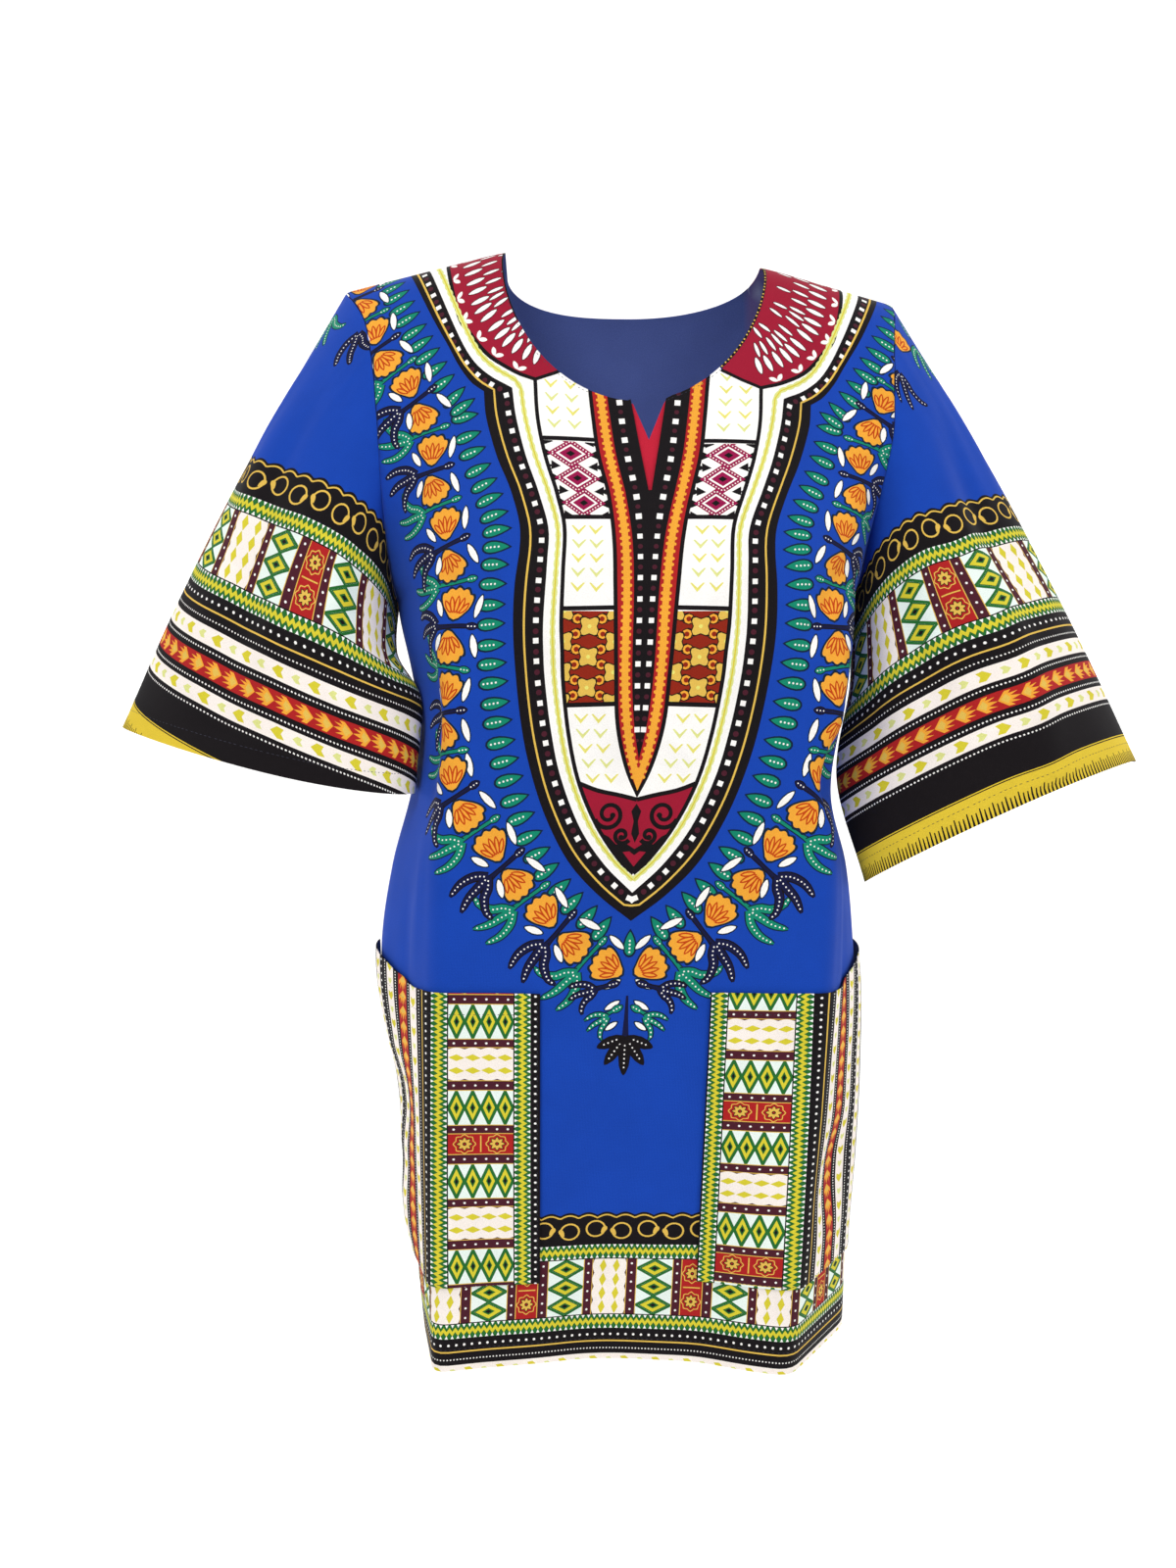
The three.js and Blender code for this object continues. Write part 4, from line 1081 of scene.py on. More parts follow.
def sewn_piece(name, outline, sheet, ground, surface_at, fine_spots=(), step=6.0):
    """A piece of cloth: an outer face cut along the printed shapes, a paler inner face, and the rim between them.
    surface_at gives points and normals for spots in millimetres."""
    low, high = outline.min(axis=0), outline.max(axis=0)
    downs = np.arange(low[1] + 0.41, high[1], step)
    grid = [(x, y + i % 2 * step / 2) for i, x in enumerate(np.arange(low[0] + 1.37, high[0], step)) for y in downs]
    spots = np.array(grid + list(fine_spots))
    flat, triangles, inks = meshed(outline, sheet.shapes, ground, spots)
    rim = rim_of(triangles)
    loop = max(loops_of(rim), key=len)
    flat_in, triangles_in, _ = meshed(flat[loop], [], ground, spots)
    faces_points, normals = [], []
    for side, points in ((1, flat), (-1, flat_in)):
        place, normal = surface_at(points)
        faces_points.append(place + normal * (side * CLOTH / 2))
        normals.append(normal * side)
    a, b, c = (faces_points[0][triangles[:, k]] for k in range(3))
    if np.median(np.einsum("ij,ij->i", np.cross(b - a, c - a), normals[0][triangles[:, 0]])) < 0:
        triangles, rim = triangles[:, ::-1], [(q, p) for p, q in rim]
    else:
        triangles_in = triangles_in[:, ::-1]
    # The rim joins each of its points to the nearest point at the edge of the inner face.
    edge_in = np.array(sorted({p for p, _ in rim_of(triangles_in)}))
    partner = {}
    for v in sorted({p for p, _ in rim}):
        gap = np.abs(flat_in[edge_in] - flat[v]).sum(axis=1)
        partner[v] = int(edge_in[gap.argmin()]) + len(flat)
    faces = triangles.tolist() + (triangles_in + len(flat)).tolist()
    faces += [(q, p, partner[p], partner[q]) for p, q in rim]
    piece = mesh_object(name, np.vstack(faces_points) / 1000, faces, COTTON)
    mesh = piece.data
    mesh.polygons.foreach_set("use_smooth", [True] * len(faces))
    uv = mesh.uv_layers.new(name="cloth")
    corners = np.array([v for f in faces for v in f])
    uv.data.foreach_set("uv", (np.vstack((flat, flat_in)) / 1000)[corners].ravel())
    palette = {ink: np.array(ink_colour(code)) for ink, code in INKS.items()}
    at_point = {}
    for t, ink in zip(triangles.tolist(), inks):
        for v in t:
            at_point[v] = ink
    nearest = {tuple(np.round(flat[v], 2)): ink for v, ink in at_point.items()}
    reverse = [
        reverse_colour(palette[nearest.get(tuple(np.round(p, 2)), ground)], palette[ground]) for p in flat_in
    ]
    colours = [palette[ink] for ink in inks for _ in range(3)]
    colours += [reverse[v] for t in triangles_in.tolist() for v in t]
    colours += [palette[at_point[p]] for p, q in rim for _ in range(4)]
    layer = mesh.color_attributes.new("ink", "FLOAT_COLOR", "CORNER")
    layer.data.foreach_set("color", np.array(colours, np.float32).ravel())
    mesh.normals_split_custom_set_from_vertices([tuple(v) for v in np.vstack(normals)])
    p, q, r = (flat[triangles[:, k]] for k in range(3))
    return piece, float(np.abs(np.cross(q - p, r - p)).sum() / 2) / 1e6


def plain_material(name, code, roughness, specular=0.5):
    material = bpy.data.materials.new(name)
    material.use_nodes = True
    inputs = material.node_tree.nodes["Principled BSDF"].inputs
    inputs["Base Color"].default_value = ink_colour(code)
    inputs["Roughness"].default_value = roughness
    inputs["Specular IOR Level"].default_value = specular
    return material


THREAD = plain_material("polyester_sewing_thread", "#181A30", 0.55)
STITCH_PITCH, STITCH_LENGTH, STITCH_HALF_WIDTH, STITCH_RISE = 3.2, 2.5, 0.24, 0.2
STITCH_FACES = ((0, 1, 2), (0, 2, 3), (4, 2, 1), (4, 3, 2), (0, 3, 1), (4, 1, 3))
HEM_TURN = 14  # from a turned edge to the row of stitches that holds it
NECK_STITCH_INSET = 1.8


def stitched(name, surface_at, paths):
    """Rows of machine stitches along paths on a piece: each stitch is a short raised thread with pointed ends."""
    points, faces = [], []
    for path in paths:
        for spot, angle in stations(path, STITCH_PITCH):
            way = unit(angle)
            aside = np.array((-way[1], way[0])) * STITCH_HALF_WIDTH
            ends = way * STITCH_LENGTH / 2
            place, normal = surface_at(np.array((spot - ends, spot + aside, spot, spot - aside, spot + ends)))
            rise = CLOTH / 2 + np.array((-0.05, 0.02, STITCH_RISE, 0.02, -0.05))[:, None]
            k = len(points)
            points += list((place + normal * rise) / 1000)
            faces += [tuple(k + corner for corner in face) for face in STITCH_FACES]
    piece = mesh_object(name, points, faces, THREAD)
    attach(piece, "root")
    return piece


def hem_row(surface):
    """The row of stitches that holds a body's hem."""
    low, high = surface.reach(LENGTH - HEM_TURN)
    return np.array(((low + 4, LENGTH - HEM_TURN), (high - 4, LENGTH - HEM_TURN)))


def crease_spots(corners, low):
    """Spots close together along the front's hanging creases, where the cloth turns tightly."""
    spots = []
    for down in np.arange(low, LENGTH, 6.0):
        along = front_line(down)[2]
        for corner in corners:
            middle = along[corner] - along[FRONT_MIDDLE]
            spots += [(middle + k * 2.2, down + (k % 2) * 3) for k in range(-5, 6)]
    return spots


front_neck = neck_line(front, FRONT_NECK_DROP, True)
# The turned neck edge shows black at the shoulders, with gold dots on the right.
front_print.ribbon("black", front_neck[:9], 1.0)
front_print.ribbon("black", front_neck[-15:], 1.6)
for spot, _ in stations(front_neck[-15:], 3.4):
    front_print.dot("gold", spot + (0.7, 0), 0.7, 5)
front_piece, front_area = sewn_piece(
    "front_cloth", outline_of_body(front, front_neck), front_print, "blue", front.at,
    crease_spots((FOLD_LEFT, FOLD_RIGHT), 230))
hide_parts("front")
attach(front_piece, "root")
front_stitches = stitched("front_stitching", front.at, (
    hem_row(front), offset(front_neck[:20], NECK_STITCH_INSET), offset(front_neck[-22:], NECK_STITCH_INSET),
))

# ---------------------------------------------------------------------------------------------------------
# BACK BODY
# The same cotton, cut as one panel with a shallow neck. It is sewn to the front at the shoulders and sides and
# hangs in soft flutes below the waist. It carries the same print, which goes all round the neck.
# ---------------------------------------------------------------------------------------------------------
BACK_COLUMNS = "down edgeXL edgeYL sideYL midY sideYR edgeXR edgeYR"
BACK_ROWS = named(BACK_COLUMNS, (
    (0, -211, 0, 0, 0, 0, 190, 0),
    (8, -208, 10, 18, 18, 18, 189.5, 10),
    (20, -202, 20, 34, 35, 34, 188, 20),
    (40, -195, 30, 51, 53, 51, 186, 30),
    (75, -188, 42, 68, 70, 68, 183, 42),
    (125, -182, 50, 82, 82, 82, 180, 50),
    (170, -179, 49, 89, 87, 89, 174, 48),
    (210, -176, 38, 91, 88, 91, 167, 36),
    (238, -173, 22, 89, 87, 89, 161, 20),
    (250, -172, 0, 88, 86, 88, 158, 0),
    (300, -160, 0, 82, 82, 82, 151, 0),
    (345, -154, 0, 80, 82, 80, 144, 0),
    (387, -160, 0, 84, 88, 84, 140, 0),
    (440, -174, 0, 94, 101, 94, 152, 0),
    (505, -182, 0, 103, 114, 103, 158, 0),
    (570, -174, 0, 107, 119, 107, 161, 0),
    (640, -165, 0, 107, 119, 107, 158, 0),
    (700, -158, 0, 106, 117, 106, 153, 0),
    (767, -150, 0, 105, 115, 105, 150, 0),
))
BACK_FOLDS = (
    (-150, -176, 470, 767, 24, 13, 1),
    (-70, -96, 430, 767, 26, -12, 1),
    (-10, -14, 450, 767, 25, 14, 1),
    (62, 72, 440, 767, 26, -13, 1),
    (132, 158, 480, 767, 24, 12, 1),
    (-96, -30, 120, 330, 22, -5, 0),
    (92, 34, 130, 350, 22, -4, 0),
    (-40, 30, 300, 400, 24, 5, 0),
)
BACK_CREASES = (
    (-150, -80, 200, 300, 8, -1.4, 0),
    (146, 84, 210, 310, 8, -1.3, 0),
    (-110, 20, 330, 390, 9, 1.3, 0),
    (110, -10, 350, 410, 9, -1.2, 0),
)


def back_line(down):
    v = {name: look_up(BACK_ROWS, "down", name, down) for name in BACK_COLUMNS.split()[1:]}
    side = side_turn(down)
    mid = (v["edgeXL"] + v["edgeXR"]) / 2
    return rounded_line([
        (v["edgeXL"], v["edgeYL"], 0), (v["edgeXL"], v["edgeYL"] + side, 70), (mid - 96, v["sideYL"], 70),
        (mid, v["midY"], 70), (mid + 96, v["sideYR"], 70), (v["edgeXR"], v["edgeYR"] + side, 70),
        (v["edgeXR"], v["edgeYR"], 0),
    ])


back = BodySurface(back_line, 3, BACK_FOLDS, BACK_CREASES, 0, 1)
back_print = Print()
garland(back_print)
yoke(back_print)
# The print leaves a plain blue hole for the neck, which the back's shallow neck doesn't cut away.
neck_hole = smooth([(x, 10 + 112 * math.sin(math.acos(x / 95)) ** 0.8) for x in np.linspace(-94, 94, 17)], 5)
neck_hole = np.vstack((((-94, -12),), neck_hole, ((94, -12),)))
back_print.add("blue", neck_hole)
back_print.ribbon("black", neck_hole, 1.2)
hem_border(back_print, 290)
back_neck = neck_line(back, BACK_NECK_DROP, False)
back_piece, back_area = sewn_piece("back_cloth", outline_of_body(back, back_neck), back_print, "blue", back.at)
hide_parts("back")
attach(back_piece, "root")
back_stitches = stitched("back_stitching", back.at, (hem_row(back), offset(back_neck, NECK_STITCH_INSET)))

# ---------------------------------------------------------------------------------------------------------
# SLEEVES
# Two short flared sleeves of the same cotton, each one piece with a rounded cap, joined by a seam under the arm
# and set into the armhole. The widest border runs round each above its cuff.
# ---------------------------------------------------------------------------------------------------------
SLEEVE_COLUMNS = "at outer front inner back"
SLEEVES = {
    "left": (
        (0.36, (-278, -6, -140), (-222, -66, -222), (-169, -36, -288), (-226, 54, -214)),
        (0.7, (-329, -14, -246), (-238, -76, -306), (-148, -58, -330), (-244, 50, -290)),
        (1, (-369, -20, -341), (-236, -80, -378), (-153, -60, -387), (-262, 40, -356)),
    ),
    "right": (
        (0.36, (261, -6, -150), (206, -66, -238), (159, -14, -302), (208, 54, -234)),
        (0.7, (317, -14, -266), (240, -76, -330), (146, -24, -376), (238, 50, -324)),
        (1, (362, -20, -366), (262, -74, -396), (160, -52, -450), (266, 40, -396)),
    ),
}
SLEEVE_FOLDS = {
    "left": (
        (34, 52, 40, 190, 17, 5, 0), (78, 92, 70, 320, 20, -5, 0.5), (150, 130, 60, 240, 16, 4, 0),
        (-70, -90, 60, 300, 22, 6, 0.7),
    ),
    "right": (
        (-52, -70, 40, 240, 18, -6, 0), (-96, -110, 90, 330, 20, 5, 0.5), (-146, -150, 60, 260, 16, -4, 0),
        (70, 96, 60, 320, 22, 6, 0.7),
    ),
}
SLEEVE_CREASES = {
    "left": (
        (10, 22, 30, 150, 8, 1.6, 0), (58, 74, 30, 200, 8, -1.6, 0), (104, 112, 60, 250, 9, 1.6, 0),
        (124, 120, 90, 300, 8, -1.4, 0),
    ),
    "right": (
        (-14, -26, 30, 150, 8, 1.5, 0), (-36, -60, 40, 200, 8, 1.6, 0), (-76, -92, 50, 260, 9, 1.5, 0),
        (-124, -126, 60, 280, 9, -1.6, 0),
    ),
}
SLEEVE_FALL = 340  # the length from cap to cuff that the folds and creases are laid out on
SLEEVE_STEPS_ROUND, SLEEVE_ROWS = 281, 121
CUFF_EDGE = 0.3  # how far a sleeve's roundness carries to its sharper edges, outer and inner
ARMHOLE_GAP, UNDERARM_GAP = 0.9, 1.6


def armhole(side, turns):
    """The armhole seam as points: down its front edge from the shoulder to the underarm and up its back edge."""

    def edge(surface, down, inside):
        low, high = surface.reach(down)
        return surface.at(pairs(low + inside if side < 0 else high - inside, down))[0]

    def half(surface):
        down = np.linspace(0, UNDERARM, 61)
        at = edge(surface, down, 0)
        along = edge(surface, np.minimum(UNDERARM, down + 3), 0) - edge(surface, np.maximum(0, down - 3), 0)
        inward = edge(surface, down, 3) - at
        inward -= along * (np.einsum("ij,ij->i", inward, along) / np.einsum("ij,ij->i", along, along))[:, None]
        away = -inward / np.linalg.norm(inward, axis=1, keepdims=True)
        under = ease((down / UNDERARM - 0.7) / 0.25)[:, None]
        return at + away * ARMHOLE_GAP * (1 - under) + np.array((side, 0, 0)) * UNDERARM_GAP * under

    down, up = half(front), half(back)[::-1]
    up = np.vstack((down[-1:], up[1:-1], down[:1]))
    out = []
    for t in turns:
        line, share = (down, t * 2) if t <= 0.5 else (up, t * 2 - 1)
        along = np.concatenate(([0], np.cumsum(np.linalg.norm(np.diff(line, axis=0), axis=1))))
        out.append([np.interp(share * along[-1], along, line[:, k]) for k in range(3)])
    return np.array(out)


def ring(row, turns):
    """Points round a sleeve through four points, whose outer and inner edges are the sharper ones."""
    corners = [np.array(row[name], float) for name in SLEEVE_COLUMNS.split()[1:]]
    centre = (corners[0] + corners[2]) / 2
    out = []
    for turn in turns:
        quarter = min(3, int(turn * 4))
        a, z = corners[quarter], corners[(quarter + 1) % 4]
        handle_a, handle_z = (0.5, CUFF_EDGE) if quarter % 2 else (CUFF_EDGE, 0.5)
        t = turn * 4 - quarter
        p, q = a + (z - centre) * handle_a, z + (a - centre) * handle_z
        out.append((1 - t) ** 3 * a + 3 * t * (1 - t) ** 2 * p + 3 * t * t * (1 - t) * q + t**3 * z)
    return np.array(out)


class SleeveSurface:
    """The middle layer of a sleeve. across runs round it from its outer edge, and up runs from the cuff."""

    def __init__(self, side, name):
        turns = np.linspace(-0.5, 0.5, SLEEVE_STEPS_ROUND)
        rings = [(0, armhole(side, turns % 1))]
        rings += [(row["at"], ring(row, turns % 1)) for row in named(SLEEVE_COLUMNS, SLEEVES[name])]
        share = np.linspace(0, 1, SLEEVE_ROWS)
        grid = np.empty((len(share), len(turns), 3))
        for j in range(len(turns)):
            for k in range(3):
                rows = [{"at": at, "value": points[j, k]} for at, points in rings]
                grid[:, j, k] = [look_up(rows, "at", "value", s) for s in share]
        centre = grid[:, :-1].mean(axis=1, keepdims=True)
        round_by = np.linalg.norm(np.diff(grid, axis=1), axis=2).sum(axis=1)[:, None]
        across, down = -side * turns[None, :] * round_by, share[:, None] * SLEEVE_FALL
        out = (grid - centre) * (1, 1, 0)
        out /= np.linalg.norm(out, axis=2, keepdims=True)
        folds = named(FOLD_COLUMNS, SLEEVE_FOLDS[name] + SLEEVE_CREASES[name])
        self.grid = grid + out * fold_height(folds, across, down)[..., None]
        self.normal = grid_normals(self.grid, 1)
        if np.einsum("ijk,ijk->ij", self.normal, out).mean() < 0:
            self.normal *= -1
        self.cuff = float(round_by[-1, 0])
        steps = np.linalg.norm(np.diff(self.grid[::-1], axis=0), axis=2)
        self.up = np.vstack((np.zeros(len(turns)), np.cumsum(steps, axis=0)))
        self.across = -side * turns * self.cuff

    def cap(self, across):
        """How far above the cuff the sleeve's upper edge lies."""
        order = np.argsort(self.across)
        return np.interp(across, self.across[order], self.up[-1][order])

    def at(self, spots):
        """Points and normals for spots (across, up)."""
        rows, columns = self.grid.shape[:2]
        share = (spots[:, 0] - self.across[0]) / (self.across[-1] - self.across[0])
        u = np.clip(share * (columns - 1), 0, columns - 1.001)
        j = u.astype(int)
        s = u - j
        v = np.empty(len(spots))
        for k in range(len(spots)):
            up = self.up[:, j[k]] * (1 - s[k]) + self.up[:, j[k] + 1] * s[k]
            v[k] = rows - 1 - np.interp(spots[k, 1], up, np.arange(rows))
        v = np.clip(v, 0, rows - 1.001)
        i = v.astype(int)
        place = (i, j, s[:, None], (v - i)[:, None])
        normal = blend(self.normal, *place)
        return blend(self.grid, *place), normal / np.linalg.norm(normal, axis=1, keepdims=True)


SLEEVE_BANDS = tuple(name for name in BANDS if name != "dotted")
# How the border lies on each sleeve: its height as a share at the outer edge and at the front, how steeply its foot
# runs out under the cuff in front, and where its blocks start.
BORDER_LIE = {
    "left": {"outer": 0.99, "front": 1.07, "roll": 0.235, "blocks_from": 50},
    "right": {"outer": 0.95, "front": 0.95, "roll": 0, "blocks_from": 63},
}
# Sprays of the garland that lie on the cap, by distance round from its top (towards the front) and below the seam.
CAP_SPRAYS = {
    "left": (
        (8, 19, "frond leaf", -1.1), (56, 8, "frond navy", -1.25),
        (-20, 20, "flower", 0.6), (-30, 46, "frond navy", -1.5), (-58, 30, "flower", 0.4),
    ),
    "right": (
        (49, 6, "flower", 2.4), (78, 7, "frond navy", -2.0), (22, 30, "frond leaf", -2.1), (20, 3, "leaf", -1.6),
        (-30, 22, "flower", 2.4), (-34, 50, "frond navy", -1.6), (-62, 32, "flower", 2.6),
    ),
}


def sleeve(name, side):
    """One sleeve, on side -1 or 1: the garland's sprays on its cap, and the border over them."""
    surface = SleeveSurface(side, name)
    sheet = Print()
    total = sum(BANDS[band] for band in SLEEVE_BANDS)
    half, lie = surface.cuff / 2, BORDER_LIE[name]
    for across, below, kind, tilt in CAP_SPRAYS[name]:
        spot = np.array((-side * across, surface.cap(-side * across) - below))
        if kind == "flower":
            flower(sheet, spot, tilt if side < 0 else math.pi - tilt)
        elif kind == "leaf":
            leaf(sheet, spot, tilt)
        else:
            frond(sheet, spot, tilt, kind.split()[1], 1.1)

    def to_cloth(points):
        across = points[:, 0] * side
        ahead = np.clip(-side * across, 0, None)
        height = lie["outer"] + (lie["front"] - lie["outer"]) * ease(np.abs(across) / (0.3 * surface.cuff))
        return pairs(across, (total - points[:, 1]) * height - lie["roll"] * ahead)

    Border(sheet, to_cloth, -half, half).draw(SLEEVE_BANDS, lie["blocks_from"])
    edge = np.linspace(-half + EDGE_INSET, half - EDGE_INSET, 120)
    top = pairs(edge, surface.cap(edge) - EDGE_INSET)
    sides = np.arange(6, top[0, 1] - 4, 6)
    outline = np.vstack((
        pairs(edge[::-1], edge * 0), pairs(sides * 0 + edge[0], sides), top, pairs(sides * 0 + edge[-1], sides[::-1]),
    ))
    piece, area = sewn_piece(f"sleeve_{name}_cloth", outline, sheet, "blue", surface.at, step=5.0)
    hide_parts(f"sleeve_{name}")
    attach(piece, "root")
    hem = np.array(((-half + 2, HEM_TURN), (half - 2, HEM_TURN)))
    stitches = stitched(f"sleeve_{name}_stitching", surface.at, (hem,))


sleeve("left", -1)
sleeve("right", 1)

# ---------------------------------------------------------------------------------------------------------
# POCKETS
# Two wide patches of the border print, turned a quarter so that its bands stand upright. Each is sewn to the front
# down its inner edge, along its foot and into the side seam, and open along its hemmed upper edge.
# ---------------------------------------------------------------------------------------------------------
POCKET_TOP, POCKET_FOOT, POCKET_RISE, POCKET_GAPE = 520, 711, 24, 2
POCKET_LIFT = 2.0  # from the middle of the front's cloth to the middle of the pocket's
POCKET_RUN = (480, 720)  # what is printed and creased, from above the mouth to below the foot
POCKET_STITCH_INSET = 1.8
POCKET_BANDS = (
    "zigzag", "blocks", "zigzag 2", "dots", "petals", "beads", "arrows", "beads 2", "petals 2", "beads 3", "dotted",
    "petals 2", "beads 3", "dotted", "plain",
)
# Each pocket's side, the hanging crease that it wraps, where its inner edge lies on the way from the front's middle to
# that crease and how much further on it is at the foot, and its border's scale, bands and first block.
POCKETS = {
    "left": {
        "side": -1, "crease": FOLD_LEFT, "inner": 1 - 0.55, "leans": -0.031, "along": 0.766, "across": 0.885,
        "bands": ("dotted", *POCKET_BANDS), "blocks_from": 586.4,
    },
    "right": {
        "side": 1, "crease": FOLD_RIGHT, "inner": 0.418, "leans": 0.043, "along": 0.74, "across": 0.9,
        "bands": POCKET_BANDS, "blocks_from": 723,
    },
}


def pocket(name, cut):
    """One pocket, which lies on the front and turns with it round the hanging crease."""
    side = cut["side"]

    def edges(down):
        """Where the pocket's inner and outer edges lie across the front."""
        along = front_line(down)[2]
        fall = min(1, max(0, (down - POCKET_TOP) / (POCKET_FOOT - POCKET_TOP)))
        low, high = front.reach(down)
        inner = (along[cut["crease"]] - along[FRONT_MIDDLE]) * (cut["inner"] + cut["leans"] * fall)
        return inner, low + 4 if side < 0 else high - 4

    def share(across, down):
        inner, outer = edges(down)
        return (across - inner) / (outer - inner)

    def surface_at(spots):
        part = np.array([share(a, d) for a, d in spots])
        mouth = POCKET_GAPE * ease((POCKET_TOP + 60 - spots[:, 1]) / 60) * ease((part - 0.5) / 0.3)
        return front.at(spots, POCKET_LIFT + mouth)

    (inner_top, outer_top), (inner_foot, outer_foot) = edges(POCKET_TOP), edges(POCKET_FOOT)
    t = np.linspace(0, 1, 40)
    rise = np.maximum(2, POCKET_RISE * ease((t - 0.42) / 0.58))
    top = pairs(inner_top + (outer_top - inner_top) * t, POCKET_TOP - rise)
    foot = pairs(outer_foot + (inner_foot - outer_foot) * t, t * 0 + POCKET_FOOT)
    downs = np.arange(POCKET_TOP + 4, POCKET_FOOT - 3, 6.0)
    outer_side = np.array([(edges(d)[1], d) for d in downs])
    inner_side = np.array([(edges(d)[0], d) for d in downs[::-1]])
    lean = (inner_foot - inner_top) / (POCKET_FOOT - POCKET_TOP)

    def to_cloth(points):
        return pairs(inner_top + lean * (points[:, 0] - POCKET_TOP) + side * points[:, 1], points[:, 0])

    sheet = Print()
    Border(sheet, to_cloth, *POCKET_RUN, cut["along"], cut["across"], 4).draw(cut["bands"], cut["blocks_from"])
    piece, area = sewn_piece(
        f"pocket_{name}_cloth", np.vstack((top, outer_side, foot, inner_side)), sheet, "black", surface_at,
        [spot for spot in crease_spots((cut["crease"],), POCKET_RUN[0]) if spot[1] < POCKET_RUN[1]])
    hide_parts(f"pocket_{name}")
    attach(piece, "root")
    stitches = stitched(f"pocket_{name}_stitching", surface_at, (
        inner_side + (side * POCKET_STITCH_INSET, 0), foot[2:-2] - (0, POCKET_STITCH_INSET), top[2:-2] + (0, HEM_TURN),
    ))


for pocket_name, pocket_cut in POCKETS.items():
    pocket(pocket_name, pocket_cut)

# ---------------------------------------------------------------------------------------------------------
# SLIT FACING
# A small kite of plain red cotton inside the neck slit, stitched to the front's edges.
# ---------------------------------------------------------------------------------------------------------
FACING_TOP, FACING_FOOT, FACING_HALF, FACING_FOOT_HALF = 110, 204, 26, 4
FACING_LIFT = -1.95  # from the middle of the front's cloth, inwards
NOTCH_HALF, NOTCH_CLEARANCE = 10.4, 10.6  # the opening over the slit, and where the rim of the neck stops beside it


def facing_half(down):
    fall = float(ease((down - FACING_TOP) / (FACING_FOOT - FACING_TOP)))
    return FACING_HALF + (FACING_FOOT_HALF - FACING_HALF) * fall


def facing_outline():
    """The kite, less the round of the neck and the notch that opens over the slit."""
    downs = np.linspace(FACING_FOOT, FACING_TOP, 24)
    left, right = ([(side * facing_half(down), down) for down in downs] for side in (-1, 1))
    neck_foot = -FRONT_NECK_DROP - 1
    notch = [
        front.spot(SLIT_X + aside, z) for aside, z in ((-NOTCH_HALF, neck_foot), (0, -150), (NOTCH_HALF, neck_foot))
    ]
    rim_left, rim_right = [], []
    for k in range(-20, 21):
        aside = k * 1.5
        x = SLIT_X + aside
        spot = front.spot(x, neck_foot * math.sqrt(1 - (x / NECK_HALF_WIDTH) ** 2))
        if abs(spot[0]) < facing_half(spot[1]) and abs(aside) > NOTCH_CLEARANCE:
            (rim_left if aside < 0 else rim_right).append(spot)
    sides_left = [p for p in left if p[1] > rim_left[0][1] + 1]
    sides_right = [p for p in right if p[1] > rim_right[-1][1] + 1]
    return np.array(sides_left + rim_left + notch + rim_right + sides_right[::-1])


facing_piece, facing_area = sewn_piece(
    "slit_facing_cloth", facing_outline(), Print(), "facing red", lambda spots: front.at(spots, FACING_LIFT))
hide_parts("slit_facing")
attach(facing_piece, "root")

# ---------------------------------------------------------------------------------------------------------
# ROOM, LIGHTS AND CAMERA
# A pale backdrop that sweeps from the floor up to the wall, with soft studio light from both sides and above. The
# camera looks level at the middle of the dress, from about 0.9 m in front of its shoulders. Sizes here are in metres.
# ---------------------------------------------------------------------------------------------------------
PAINT = plain_material("matt_white_wall_paint", "#F4F3F1", 0.95, 0.1)
FLOOR_LEVEL, WALL_BACK, WALL_TOP, SWEEP_RADIUS, ROOM_HALF = -1.42, 2.0, 3.0, 0.8, 4.0


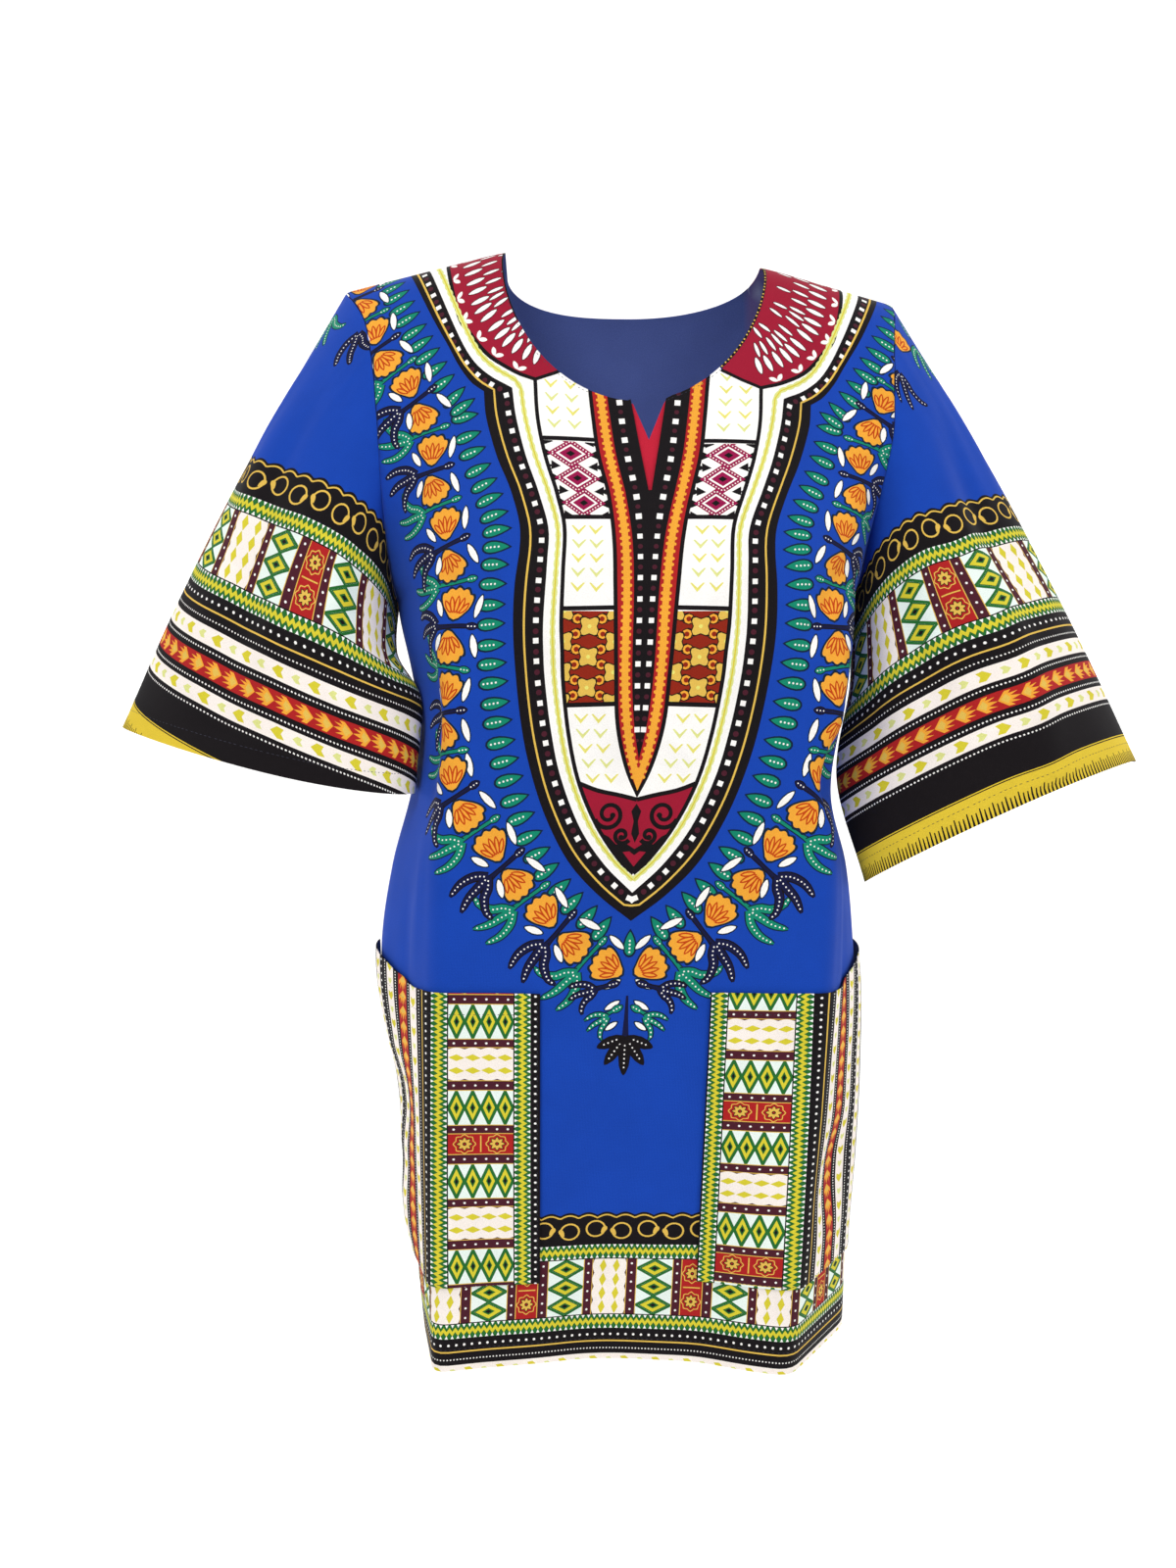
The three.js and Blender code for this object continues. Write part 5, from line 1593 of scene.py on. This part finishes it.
def backdrop():
    """A sheet of card that is the floor in front and sweeps up in a curve to the wall behind."""
    turns = np.linspace(0, math.pi / 2, 17)
    profile = [(-ROOM_HALF, FLOOR_LEVEL)]
    profile += [
        (WALL_BACK - SWEEP_RADIUS * (1 - math.sin(t)), FLOOR_LEVEL + SWEEP_RADIUS * (1 - math.cos(t))) for t in turns
    ]
    profile.append((WALL_BACK, WALL_TOP))
    points = [(x, y, z) for y, z in profile for x in (-ROOM_HALF, ROOM_HALF)]
    faces = [(2 * k, 2 * k + 1, 2 * k + 3, 2 * k + 2) for k in range(len(profile) - 1)]
    card = mesh_object("backdrop", points, faces, PAINT)
    card.data.polygons.foreach_set("use_smooth", [True] * len(faces))


backdrop()
# Each square light's place, the spot it faces, the length of its side, and its power in watts.
LIGHTS = {
    "key_left": ((-1.3, -2.5, 1.0), (0, 0, -0.4), 1.3, 31),
    "fill_right": ((1.8, -2.2, 0.8), (0, 0, -0.4), 1.8, 22),
    "top": ((0, -0.9, 2.2), (0, 0, -0.3), 1.4, 15),
    "wall_wash_left": ((-2.2, 0.9, 0.2), (-0.4, 2.0, 0.1), 1.2, 30),
    "wall_wash_right": ((2.2, 0.9, 0.2), (0.4, 2.0, 0.1), 1.2, 30),
    "back_fill": ((0, 1.9, 1.6), (0, 0, -0.4), 1.6, 14),
}
for light_name, (light_at, light_towards, light_size, light_power) in LIGHTS.items():
    light = bpy.data.lights.new(light_name, "AREA")
    light.shape, light.size, light.energy = "SQUARE", light_size, light_power
    lamp = in_scene(light_name, light)
    lamp.location = light_at
    lamp.rotation_euler = (Vector(light_towards) - Vector(light_at)).to_track_quat("-Z", "Y").to_euler()
world = bpy.data.worlds.new("studio")
bpy.context.scene.world = world
world.use_nodes = True
sky = world.node_tree.nodes["Background"].inputs
sky["Color"].default_value = ink_colour("#F5F6FA")
sky["Strength"].default_value = 0.5
bpy.context.scene.view_settings.view_transform = "Standard"

CAMERA_AT, LENS, SENSOR, NEAREST = (-0.033, -0.905, -0.382), 28.125, 36, 0.01
lens_data = bpy.data.cameras.new("camera")
lens_data.lens, lens_data.sensor_width, lens_data.clip_start = LENS, SENSOR, NEAREST
camera = in_scene("camera", lens_data)
camera.location = CAMERA_AT
camera.rotation_euler = (math.pi / 2, 0, 0)
bpy.context.scene.camera = camera
